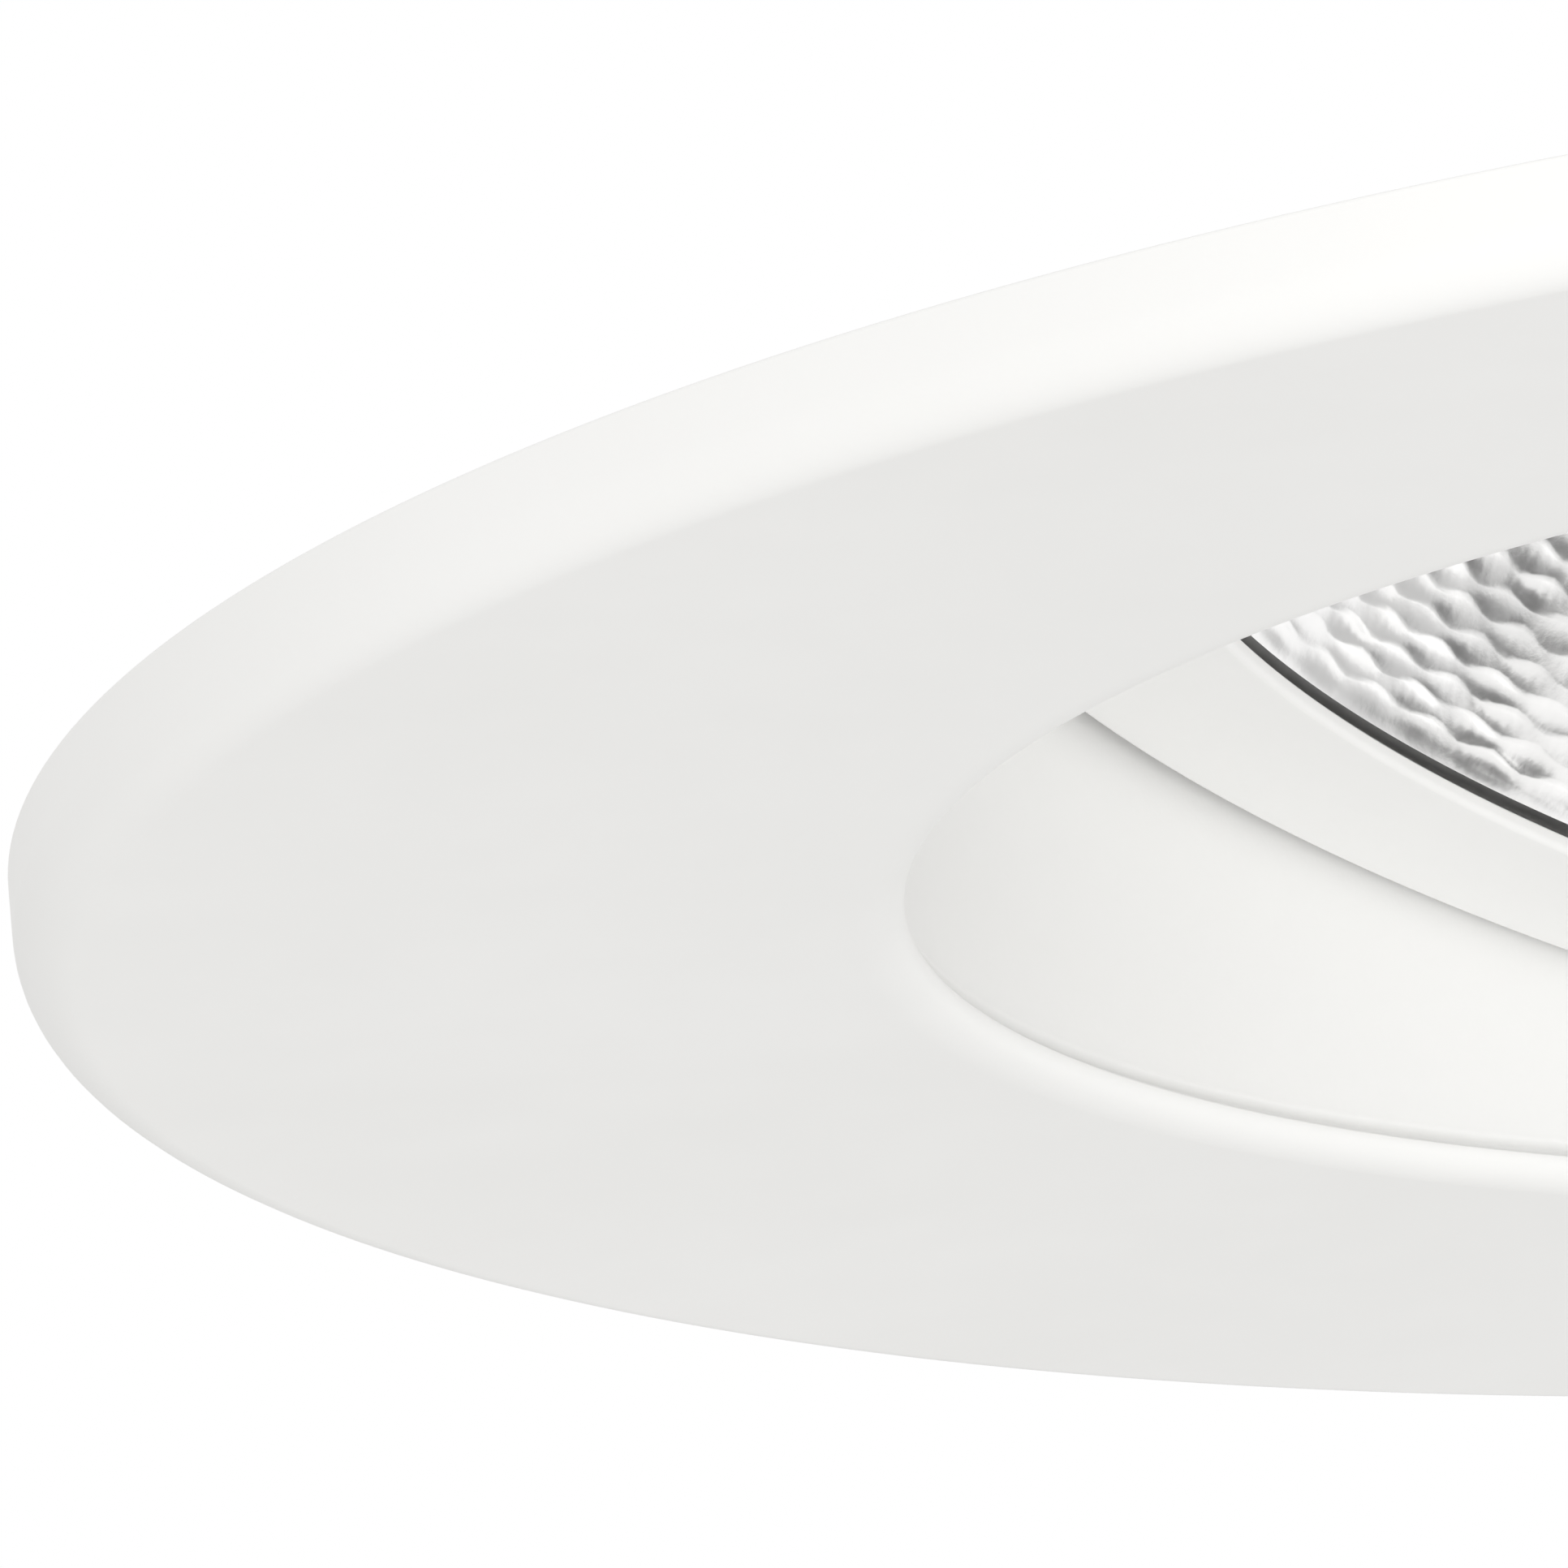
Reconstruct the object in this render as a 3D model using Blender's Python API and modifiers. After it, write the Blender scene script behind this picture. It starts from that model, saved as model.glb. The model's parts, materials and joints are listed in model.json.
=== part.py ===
"""Recessed ceiling downlight: a round white trim, a swivel ring that turns in it, and a tilting lamp unit.

Frame: +Z up, z = 0 is the underside of the ceiling that the trim's back lies against, and the origin is
the centre of the ceiling's cut-out. The lamp unit is stored aimed: the swivel ring is turned by AIM_AZIMUTH
and the lamp unit tilted by AIM_TILT about the pivot screws.
"""

import math

import bpy
from mathutils import Matrix

MM = 0.001
GAP = 0.25 * MM            # between pieces that touch
SIDES_RING = 48            # steps round a large ring
SIDES_ROUND = 32           # steps round a middling one
SIDES_SMALL = 12           # steps round a screw or a pin
MERGE = 0.00001

# The aim that the lamp unit is stored in.
AIM_AZIMUTH = math.radians(17)
AIM_TILT = math.radians(14)
PIVOT_Z = 5.0 * MM

# Trim: the flange that covers the edge of the ceiling's hole.
FLANGE_R = 90.0 * MM
FLANGE_T = 4.2 * MM
SHOULDER_R = 3.0 * MM
OPENING_R = 58.2 * MM
LIP_R = 1.8 * MM
LIP_FLATNESS = 0.5         # the lip's round is lower than it is wide by this much
LEDGE_Z = -3.2 * MM
COLLAR_INNER_R = 67.2 * MM
COLLAR_OUTER_R = 69.2 * MM
COLLAR_TOP = 0.6 * MM
GROOVE_Z = -1.6 * MM
GROOVE_OUTER_R = 84.0 * MM
GASKET_R = (75.2 * MM, 83.7 * MM)
GASKET_TOP = 0.8 * MM
BOSS_R = 2.9 * MM
BOSS_HOLE_R = 1.4 * MM
BOSS_HOLE_FLOOR = -1.3 * MM
BOSS_CENTRE_R = 71.5 * MM

# Screws: radius of the shank, radius and height of the head.
M25 = (1.15 * MM, 2.5 * MM, 1.9 * MM)
M25_LOW = (1.15 * MM, 2.3 * MM, 1.6 * MM)
M2 = (1.05 * MM, 1.85 * MM, 1.5 * MM)
M2_LOW = (0.95 * MM, 1.8 * MM, 1.3 * MM)
M3_PIVOT = (1.45 * MM, 2.3 * MM, 2.0 * MM)
M25_HOLE_R = 1.45 * MM
M2_HOLE_R = 1.3 * MM
M2_LOW_HOLE_R = 1.2 * MM

# Swivel ring and what guides it.
WALL_INNER_R = 58.5 * MM
WALL_OUTER_R = 60.3 * MM
WALL_TOP = 24.0 * MM
SWIVEL_FLANGE_R = 64.6 * MM
SWIVEL_FLANGE_Z = (-0.9 * MM, 0.6 * MM)
GLIDE_R = (60.9 * MM, 64.4 * MM)
STOP_R = 66.0 * MM
STOP_PIN_R = 0.9 * MM
TAB_END_R = 66.7 * MM
TAB_HALF_WIDTH = 1.2 * MM
PIVOT_BOSS_R = 2.6 * MM
PIVOT_BOSS_END = 62.0 * MM
PIVOT_HOLE_R = 1.75 * MM
PIVOT_WASHER_T = 0.7 * MM

# Mounting ring, the steel plate on the trim's back that carries the spring clips.
MOUNT_R = (61.7 * MM, 75.0 * MM)
MOUNT_Z = (COLLAR_TOP + GAP, COLLAR_TOP + GAP + 1.0 * MM)
MOUNT_SCREW_ANGLES = (90, 210, 330)

# Spring clips.
CLIP_ANGLES = (30, 150, 270)
CLIP_PIN_AT = (71.0 * MM, 12.0 * MM)
CLIP_DROOP = math.radians(22)
BRACKET_X = (67.2 * MM, 74.8 * MM)
BRACKET_HALF_WIDTH = 6.4 * MM
BRACKET_T = 1.2 * MM
BRACKET_TOP = 15.5 * MM
BRACKET_SCREW_R = 70.5 * MM
PIN_R = 1.0 * MM
PIN_HOLE_R = 1.35 * MM
PIN_HEAD = (1.9 * MM, 1.0 * MM)
ARM_HALF_WIDTH = 5.3 * MM
ARM_T = 1.0 * MM
ARM_REACH = 18.2 * MM
ARM_TONGUE_X = 5.0 * MM
CHEEK_X = (-2.6 * MM, 9.0 * MM)
CHEEK_HALF_HEIGHT = 2.8 * MM
FOOT_X = (15.5 * MM, 19.5 * MM)
FOOT_Z = (-1.8 * MM, 1.6 * MM)
FOOT_MARGIN = 0.8 * MM
SPRING_R = 2.9 * MM
SPRING_WIRE_R = 0.45 * MM
SPRING_TURNS = 3
SPRING_TURN_STEPS = 10
SPRING_PITCH = 1.4 * MM
SPRING_TAIL = ((4.0 * MM, 2.7 * MM), (14.0 * MM, 1.25 * MM))

# Lamp unit. Heights are along its own axis, from the pivot.
RING_R = 57.8 * MM
RING_FACE = -5.0 * MM
RING_BEVEL = 0.5 * MM
RING_BACK = -3.3 * MM
RING_SKIRT_TOP = 5.0 * MM
RING_SKIRT_INNER_R = 56.0 * MM
RING_BOSS = (2.0 * MM, 2.8 * MM)
APERTURE_R = 48.5 * MM
APERTURE_LIP_R = 0.4 * MM
APERTURE_LIP_BACK = -4.4 * MM
LUG_HALF_WIDTH = 4.5 * MM
LUG_INNER = 52.0 * MM
LUG_HOLE_R = 1.7 * MM
PIVOT_SCREW_TIP = 53.0 * MM
HOUSING_SCREW_R = 53.8 * MM
HOUSING_SCREW_ANGLES = (0, 120, 240)
REFLECTOR_APEX = 40.6 * MM
REFLECTOR_4F = 53.1 * MM
REFLECTOR_MOUTH = -3.9 * MM
REFLECTOR_THROAT_R = 11.0 * MM
REFLECTOR_NECK_TOP = 39.6 * MM
REFLECTOR_T = 0.8 * MM
REFLECTOR_RIM_R = 51.5 * MM
REFLECTOR_STEPS = 8
HOUSING_T = 1.5 * MM
HOUSING_FOOT_R = 51.4 * MM
HOUSING_HEAD_R = 37.0 * MM
HOUSING_CONE = (8.0 * MM, 43.0 * MM)
HOUSING_TOP = 45.5 * MM
HOUSING_TOP_T = 2.0 * MM
HOUSING_FLANGE_R = 55.7 * MM
HOUSING_FLANGE_TOP = 1.25 * MM
HOUSING_HEEL_R = (49.9 * MM, 51.3 * MM)
HOUSING_NOTCH_MARGIN = 0.7 * MM
HOUSING_HOLE_R = 22.0 * MM
SINK_BASE = (45.8 * MM, 50.8 * MM)
SINK_TOP = 86.0 * MM
SINK_R = 39.0 * MM
SINK_BASE_R = 38.0 * MM
SINK_CORE_R = 13.0 * MM
FIN_COUNT = 18
FIN_HALF_T = 0.8 * MM
SINK_SCREW_R = 30.0 * MM
SINK_SCREW_TIP = 42.5 * MM
SINK_PILOT_END = 48.6 * MM
SINK_SCREW_ANGLES = (10, 130, 250)
PAD = (11.0 * MM, 0.5 * MM)
BOARD_SIDE = 19.0 * MM
BOARD_T = 1.2 * MM
EMITTER = (7.2 * MM, 0.4 * MM, 0.5 * MM)
HOLDER_R = 20.0 * MM
HOLDER_CHAMFER = 1.4 * MM
HOLDER_FACE = 39.9 * MM
HOLDER_POCKET_R = 13.9 * MM
HOLDER_MOUTH_R = (9.3 * MM, 11.2 * MM)
HOLDER_LIP_T = 0.9 * MM
HOLDER_SCREW_R = 16.5 * MM
HOLDER_SCREW_TIP = 47.8 * MM
GROMMET_HEIGHT = 27.0 * MM
GROMMET_HOLE_R = 3.4 * MM
GROMMET_R = 4.8 * MM
GROMMET_BORE_R = 2.0 * MM
GROMMET_HALF = (1.15 * MM, 2.6 * MM)
GROMMET_CHAMFER = 0.6 * MM


# ---------------------------------------------------------------------------------------------- materials

def make_material(name, colour, roughness, metallic=0.0):
    material = bpy.data.materials.new(name)
    material.use_nodes = True
    shader = material.node_tree.nodes["Principled BSDF"]
    shader.inputs["Base Color"].default_value = (*colour, 1.0)
    shader.inputs["Roughness"].default_value = roughness
    shader.inputs["Metallic"].default_value = metallic
    return material


def make_materials():
    return {
        "white": make_material("white_coat", (0.86, 0.86, 0.85), 0.35),
        "foam": make_material("gasket_foam", (0.10, 0.10, 0.11), 0.9),
        "nylon": make_material("nylon", (0.80, 0.79, 0.74), 0.5),
        "zinc": make_material("zinc_plate", (0.66, 0.67, 0.69), 0.35, 1.0),
        "spring": make_material("spring_wire", (0.42, 0.42, 0.44), 0.3, 1.0),
        "foot": make_material("clip_foot", (0.07, 0.07, 0.08), 0.6),
        "mirror": make_material("reflector_metal", (0.90, 0.90, 0.91), 0.08, 1.0),
        "housing": make_material("housing_coat", (0.07, 0.07, 0.075), 0.55),
        "sink": make_material("cast_aluminium", (0.60, 0.61, 0.62), 0.45, 1.0),
        "board": make_material("led_ceramic", (0.90, 0.90, 0.88), 0.4),
        "phosphor": make_material("led_phosphor", (0.95, 0.76, 0.18), 0.4),
        "holder": make_material("holder_plastic", (0.85, 0.85, 0.83), 0.45),
        "pad": make_material("thermal_pad", (0.45, 0.47, 0.50), 0.8),
        "grommet": make_material("grommet_rubber", (0.04, 0.04, 0.04), 0.7),
        "screw": make_material("screw_steel", (0.58, 0.58, 0.60), 0.3, 1.0),
    }


# ------------------------------------------------------------------------------------- building functions

def make_collection(name, hidden=False):
    collection = bpy.data.collections.new(name)
    bpy.context.scene.collection.children.link(collection)
    collection.hide_render = hidden
    return collection


def add_object(name, mesh, material, parent):
    """A part's object. With no material it is a cutter, or a shape that is joined into a part."""
    obj = bpy.data.objects.new(name, mesh)
    if material is None:
        CUTTERS.objects.link(obj)
        obj.hide_render = True
        obj.display_type = "WIRE"
    else:
        PARTS.objects.link(obj)
        mesh.materials.append(material)
    obj.parent = parent
    return obj


def add_empty(name, parent=None, location=(0, 0, 0), rotation=(0, 0, 0)):
    empty = bpy.data.objects.new(name, None)
    PARTS.objects.link(empty)
    empty.parent = parent
    empty.location = location
    empty.rotation_euler = rotation
    return empty


def arc(centre, radius, start, end, steps=5, flatness=1):
    """Points along an arc of a profile, its angles in degrees and its height scaled by the flatness."""
    angles = [math.radians(start + (end - start) * i / steps) for i in range(steps + 1)]
    height = radius * flatness
    return [(centre[0] + radius * math.cos(a), centre[1] + height * math.sin(a)) for a in angles]


def turned(name, profile, material, parent=None, sides=SIDES_RING, closed=True):
    """A solid turned about Z from (radius, height) points that run down the outer side. An open profile has
    both ends on the axis."""
    mesh = bpy.data.meshes.new(name)
    count = len(profile)
    edges = [(i, i + 1) for i in range(count - 1)]
    if closed:
        edges.append((count - 1, 0))
    mesh.from_pydata([(r, 0, z) for r, z in profile], edges, [])
    obj = add_object(name, mesh, material, parent)
    screw = obj.modifiers.new("turn", "SCREW")
    screw.steps = sides
    screw.render_steps = sides
    screw.use_merge_vertices = True
    screw.merge_threshold = MERGE
    screw.use_smooth_shade = True
    return obj


def box(name, low, high, material=None, parent=None):
    bpy.ops.mesh.primitive_cube_add(size=1)
    cube = bpy.context.object
    mesh = cube.data
    bpy.data.objects.remove(cube)
    size = [b - a for a, b in zip(low, high)]
    centre = [(a + b) / 2 for a, b in zip(low, high)]
    mesh.transform(Matrix.Translation(centre) @ Matrix.Diagonal((*size, 1)))
    return add_object(name, mesh, material, parent)


def rod(name, radius, low, high, axis="Z", at=(0, 0, 0), material=None, parent=None, sides=SIDES_SMALL):
    """A cylinder from low to high along an axis, its line passing through at."""
    bpy.ops.mesh.primitive_cylinder_add(vertices=sides, radius=radius, depth=high - low)
    cylinder = bpy.context.object
    mesh = cylinder.data
    bpy.data.objects.remove(cylinder)
    turn = {"X": Matrix.Rotation(math.pi / 2, 4, "Y"), "Y": Matrix.Rotation(-math.pi / 2, 4, "X")}
    lift = Matrix.Translation((0, 0, (low + high) / 2))
    mesh.transform(Matrix.Translation(at) @ turn.get(axis, Matrix.Identity(4)) @ lift)
    return add_object(name, mesh, material, parent)


def plate(name, outline, low, high, material, parent):
    """A flat outline of (x, y) points, thickened from low to high."""
    mesh = bpy.data.meshes.new(name)
    mesh.from_pydata([(x, y, low) for x, y in outline], [], [tuple(range(len(outline)))])
    obj = add_object(name, mesh, material, parent)
    solidify = obj.modifiers.new("thickness", "SOLIDIFY")
    solidify.thickness = high - low
    solidify.offset = 1
    return obj


def combine(obj, others, operation):
    for other in others:
        boolean = obj.modifiers.new(operation.lower(), "BOOLEAN")
        boolean.operation = operation
        boolean.object = other
    return obj


def around(radius, degrees):
    return radius * math.cos(math.radians(degrees)), radius * math.sin(math.radians(degrees))


def screw(name, size, tip, seat, at, parent):
    """A pan-head screw pointing down, its head resting on the height seat."""
    shank_r, head_r, head_height = size
    top = seat + head_height
    profile = [
        (0, top),
        (head_r * 0.6, top),
        (head_r, top - 0.4 * head_height),
        (head_r, seat),
        (shank_r, seat),
        (shank_r, tip),
        (0, tip),
    ]
    obj = turned(name, profile, MATERIALS["screw"], parent, SIDES_SMALL, closed=False)
    obj.location = (*at, 0)
    return obj


# -------------------------------------------------------------------------------------------- fixed pieces

def make_trim():
    face = -FLANGE_T
    profile = [(FLANGE_R, 0)]
    profile += arc((FLANGE_R - SHOULDER_R, face + SHOULDER_R), SHOULDER_R, 0, -90)
    lip_centre = (OPENING_R + LIP_R, face + LIP_R * LIP_FLATNESS)
    profile += arc(lip_centre, LIP_R, -90, -180, 3, LIP_FLATNESS)
    profile += [
        (OPENING_R, LEDGE_Z),
        (COLLAR_INNER_R, LEDGE_Z),
        (COLLAR_INNER_R, COLLAR_TOP),
        (COLLAR_OUTER_R, COLLAR_TOP),
        (COLLAR_OUTER_R, GROOVE_Z),
        (GROOVE_OUTER_R, GROOVE_Z),
        (GROOVE_OUTER_R, 0),
    ]
    trim = turned("trim_ring", profile, MATERIALS["white"])
    boss_top = COLLAR_TOP - 0.15 * MM
    for angle in MOUNT_SCREW_ANGLES:
        at = (*around(BOSS_CENTRE_R, angle), 0)
        boss = rod(f"trim_boss_{angle}", BOSS_R, GROOVE_Z - 0.6 * MM, boss_top, at=at)
        hole = rod(f"trim_boss_hole_{angle}", BOSS_HOLE_R, BOSS_HOLE_FLOOR, 2 * MM, at=at)
        combine(trim, [boss], "UNION")
        combine(trim, [hole], "DIFFERENCE")
    return trim


def ring(name, radii, heights, material, parent=None, sides=SIDES_RING):
    profile = [
        (radii[1], heights[1]),
        (radii[1], heights[0]),
        (radii[0], heights[0]),
        (radii[0], heights[1]),
    ]
    return turned(name, profile, material, parent, sides)


def make_mounting_ring():
    plate_ring = ring("mounting_ring", MOUNT_R, MOUNT_Z, MATERIALS["zinc"])
    holes = [(angle, BOSS_CENTRE_R) for angle in MOUNT_SCREW_ANGLES]
    holes += [(angle, BRACKET_SCREW_R) for angle in CLIP_ANGLES]
    for angle, radius in holes:
        at = (*around(radius, angle), 0)
        cutter = rod(f"mounting_hole_{angle}", M25_HOLE_R, -2 * MM, 4 * MM, at=at)
        combine(plate_ring, [cutter], "DIFFERENCE")
    seat = MOUNT_Z[1] + GAP
    for number, angle in enumerate(MOUNT_SCREW_ANGLES, 1):
        at = around(BOSS_CENTRE_R, angle)
        screw(f"mounting_screw_{number}", M25, BOSS_HOLE_FLOOR + 0.3 * MM, seat, at, None)


def make_stop_pin():
    """The pin that the swivel ring's tab meets just short of a whole turn. It stands opposite the tab."""
    at = (*around(STOP_R, math.degrees(AIM_AZIMUTH) + 180), 0)
    low, high = LEDGE_Z + GAP, COLLAR_TOP - 0.1 * MM
    rod("swivel_stop_pin", STOP_PIN_R, low, high, at=at, material=MATERIALS["screw"])


# -------------------------------------------------------------------------------------------- spring clips

def make_bracket(number, frame):
    """A channel of sheet steel: a base on the mounting ring and two ears that hold the pin."""
    base_z = MOUNT_Z[1] + GAP + BRACKET_T / 2
    section = [
        (-BRACKET_HALF_WIDTH, BRACKET_TOP),
        (-BRACKET_HALF_WIDTH, base_z),
        (BRACKET_HALF_WIDTH, base_z),
        (BRACKET_HALF_WIDTH, BRACKET_TOP),
    ]
    points = [(x, y, z) for x in BRACKET_X for y, z in section]
    faces = [(i, i + 1, i + 5, i + 4) for i in range(3)]
    mesh = bpy.data.meshes.new(f"clip_bracket_{number}")
    mesh.from_pydata(points, [], faces)
    bracket = add_object(f"clip_bracket_{number}", mesh, MATERIALS["zinc"], frame)
    solidify = bracket.modifiers.new("sheet", "SOLIDIFY")
    solidify.thickness = BRACKET_T
    solidify.offset = 0
    solidify.use_even_offset = True
    reach = 2 * BRACKET_HALF_WIDTH
    pin_at = (CLIP_PIN_AT[0], 0, CLIP_PIN_AT[1])
    pin_hole = rod(f"bracket_pin_hole_{number}", PIN_HOLE_R, -reach, reach, "Y", pin_at, parent=frame)
    screw_at = (BRACKET_SCREW_R, 0, 0)
    screw_hole = rod(f"bracket_screw_hole_{number}", M25_HOLE_R, 0, 5 * MM, at=screw_at, parent=frame)
    combine(bracket, [pin_hole, screw_hole], "DIFFERENCE")
    seat = base_z + BRACKET_T / 2 + GAP
    screw(f"clip_screw_{number}", M25_LOW, -0.2 * MM, seat, screw_at[:2], frame)


def make_pin(number, frame):
    """A rivet along the clip's hinge line, with a head outside each ear."""
    head_r, head_t = PIN_HEAD
    head = BRACKET_HALF_WIDTH + BRACKET_T / 2 + GAP
    end = head + head_t
    profile = [
        (0, end),
        (head_r, end),
        (head_r, head),
        (PIN_R, head),
        (PIN_R, -head),
        (head_r, -head),
        (head_r, -end),
        (0, -end),
    ]
    pin = turned(f"clip_pin_{number}", profile, MATERIALS["screw"], frame, SIDES_SMALL, closed=False)
    pin.location = (CLIP_PIN_AT[0], 0, CLIP_PIN_AT[1])
    pin.rotation_euler = (math.pi / 2, 0, 0)


def make_arm(number, hinge):
    """A stamped arm, two cheeks on the pin and a tongue, with a plastic foot over the tongue's end."""
    half_t = ARM_T / 2
    tongue_low = (ARM_TONGUE_X, -ARM_HALF_WIDTH, -half_t)
    arm = box(f"clip_arm_{number}", tongue_low, (ARM_REACH, ARM_HALF_WIDTH, half_t), MATERIALS["zinc"], hinge)
    for side in (-1, 1):
        low_y, high_y = sorted((side * (ARM_HALF_WIDTH - ARM_T), side * (ARM_HALF_WIDTH - 0.01 * MM)))
        low = (CHEEK_X[0], low_y, -CHEEK_HALF_HEIGHT)
        high = (CHEEK_X[1], high_y, CHEEK_HALF_HEIGHT)
        combine(arm, [box(f"arm_cheek_{number}_{side}", low, high, parent=hinge)], "UNION")
    reach = 2 * ARM_HALF_WIDTH
    combine(arm, [rod(f"arm_hole_{number}", PIN_HOLE_R, -reach, reach, "Y", parent=hinge)], "DIFFERENCE")
    foot_half = ARM_HALF_WIDTH + FOOT_MARGIN
    foot_low, foot_high = (FOOT_X[0], -foot_half, FOOT_Z[0]), (FOOT_X[1], foot_half, FOOT_Z[1])
    foot = box(f"clip_foot_{number}", foot_low, foot_high, MATERIALS["foot"], hinge)
    slot_low = (FOOT_X[0] - 1 * MM, -ARM_HALF_WIDTH - GAP, -half_t - GAP)
    slot_high = (ARM_REACH + GAP, ARM_HALF_WIDTH + GAP, half_t + GAP)
    combine(foot, [box(f"foot_slot_{number}", slot_low, slot_high, parent=hinge)], "DIFFERENCE")


def spring_path():
    """The torsion spring's line, from its fixed leg's end, round the pin, to its end on the arm."""
    seat = MOUNT_Z[1] + GAP + BRACKET_T + GAP + SPRING_WIRE_R
    start_y = -SPRING_TURNS * SPRING_PITCH / 2
    points = [(-SPRING_R, start_y, seat - CLIP_PIN_AT[1])]
    leave = math.pi / 2 - CLIP_DROOP
    sweep = math.pi - leave + 2 * math.pi * SPRING_TURNS
    steps = SPRING_TURN_STEPS * SPRING_TURNS + 3
    for i in range(steps + 1):
        angle = math.pi - sweep * i / steps
        y = start_y + SPRING_TURNS * SPRING_PITCH * i / steps
        points.append((SPRING_R * math.cos(angle), y, SPRING_R * math.sin(angle)))
    end_y = -start_y
    for along, above in SPRING_TAIL:
        x = along * math.cos(CLIP_DROOP) + above * math.sin(CLIP_DROOP)
        z = -along * math.sin(CLIP_DROOP) + above * math.cos(CLIP_DROOP)
        points.append((x, end_y, z))
    return points


def make_spring(number, frame):
    points = spring_path()
    curve = bpy.data.curves.new(f"clip_spring_{number}", "CURVE")
    curve.dimensions = "3D"
    curve.bevel_depth = SPRING_WIRE_R
    curve.bevel_resolution = 2
    curve.use_fill_caps = True
    spline = curve.splines.new("POLY")
    spline.points.add(len(points) - 1)
    for point, place in zip(spline.points, points):
        point.co = (*place, 1)
    spring = bpy.data.objects.new(f"clip_spring_{number}", curve)
    PARTS.objects.link(spring)
    curve.materials.append(MATERIALS["spring"])
    spring.parent = frame
    spring.location = (CLIP_PIN_AT[0], 0, CLIP_PIN_AT[1])


def make_clips():
    for number, angle in enumerate(CLIP_ANGLES, 1):
        frame = add_empty(f"clip_frame_{number}", rotation=(0, 0, math.radians(angle)))
        pin_at = (CLIP_PIN_AT[0], 0, CLIP_PIN_AT[1])
        hinge = add_empty(f"clip_hinge_{number}", frame, pin_at, (0, CLIP_DROOP, 0))
        make_bracket(number, frame)
        make_pin(number, frame)
        make_arm(number, hinge)
        make_spring(number, frame)


# --------------------------------------------------------------------------------------------- swivel ring

def make_swivel_ring(swivel):
    low, high = SWIVEL_FLANGE_Z
    foot = LEDGE_Z + 0.3 * MM
    profile = [
        (WALL_OUTER_R, WALL_TOP),
        (WALL_OUTER_R, high),
        (SWIVEL_FLANGE_R, high),
        (SWIVEL_FLANGE_R, low),
        (WALL_OUTER_R, low),
        (WALL_OUTER_R, foot),
        (WALL_INNER_R, foot),
        (WALL_INNER_R, WALL_TOP),
    ]
    wall = turned("swivel_ring", profile, MATERIALS["white"], swivel)
    tab_low = (SWIVEL_FLANGE_R - 1.2 * MM, -TAB_HALF_WIDTH, low + 0.15 * MM)
    tab_high = (TAB_END_R, TAB_HALF_WIDTH, high - 0.15 * MM)
    combine(wall, [box("swivel_tab", tab_low, tab_high, parent=swivel)], "UNION")
    washer_z = (PIVOT_BOSS_END + GAP, PIVOT_BOSS_END + GAP + PIVOT_WASHER_T)
    for number, side in ((1, 1), (2, -1)):
        inner, outer = sorted((side * (WALL_INNER_R + 0.7 * MM), side * PIVOT_BOSS_END))
        at = (0, 0, PIVOT_Z)
        boss = rod(f"pivot_boss_{number}", PIVOT_BOSS_R, inner, outer, "Y", at, parent=swivel)
        inner, outer = sorted((side * (WALL_INNER_R - 4 * MM), side * (PIVOT_BOSS_END + 4 * MM)))
        hole = rod(f"pivot_hole_{number}", PIVOT_HOLE_R, inner, outer, "Y", at, parent=swivel)
        combine(wall, [boss], "UNION")
        combine(wall, [hole], "DIFFERENCE")
        radii = (PIVOT_HOLE_R, PIVOT_BOSS_R)
        washer = ring(f"pivot_washer_{number}", radii, washer_z, MATERIALS["nylon"], swivel, SIDES_SMALL)
        washer.location = at
        washer.rotation_euler = (-side * math.pi / 2, 0, 0)


# ----------------------------------------------------------------------------------------------- lamp unit

def reflector_radius(height):
    return math.sqrt(REFLECTOR_4F * (REFLECTOR_APEX - height))


def make_gimbal_ring(tilt):
    profile = [
        (RING_R, RING_SKIRT_TOP),
        (RING_R, RING_FACE + RING_BEVEL),
        (RING_R - RING_BEVEL, RING_FACE),
    ]
    profile += arc((APERTURE_R + APERTURE_LIP_R, RING_FACE + APERTURE_LIP_R), APERTURE_LIP_R, -90, -180, 3)
    seat_r = REFLECTOR_RIM_R + GAP
    profile += [
        (APERTURE_R, APERTURE_LIP_BACK),
        (seat_r, APERTURE_LIP_BACK),
        (seat_r, RING_BACK),
        (RING_SKIRT_INNER_R, RING_BACK),
        (RING_SKIRT_INNER_R, RING_SKIRT_TOP),
    ]
    gimbal = turned("gimbal_ring", profile, MATERIALS["white"], tilt)
    boss_r, boss_height = RING_BOSS
    low, high = RING_BACK - 0.7 * MM, RING_BACK + boss_height
    for angle in HOUSING_SCREW_ANGLES:
        at = (*around(HOUSING_SCREW_R, angle), 0)
        boss = rod(f"gimbal_boss_{angle}", boss_r, low, high, at=at, parent=tilt)
        hole = rod(f"gimbal_boss_hole_{angle}", M2_HOLE_R, low + 0.4 * MM, 2 * MM, at=at, parent=tilt)
        combine(gimbal, [boss], "UNION")
        combine(gimbal, [hole], "DIFFERENCE")
    for side in (-1, 1):
        low_y, high_y = sorted((side * LUG_INNER, side * (RING_SKIRT_INNER_R + 0.6 * MM)))
        low = (-LUG_HALF_WIDTH, low_y, RING_BACK - 0.5 * MM)
        high = (LUG_HALF_WIDTH, high_y, RING_SKIRT_TOP - 0.5 * MM)
        lug = box(f"gimbal_lug_{side}", low, high, parent=tilt)
        low_y, high_y = sorted((side * (LUG_INNER - 2 * MM), side * (RING_R + 2 * MM)))
        hole = rod(f"gimbal_lug_hole_{side}", LUG_HOLE_R, low_y, high_y, "Y", parent=tilt)
        combine(gimbal, [lug], "UNION")
        combine(gimbal, [hole], "DIFFERENCE")


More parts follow.
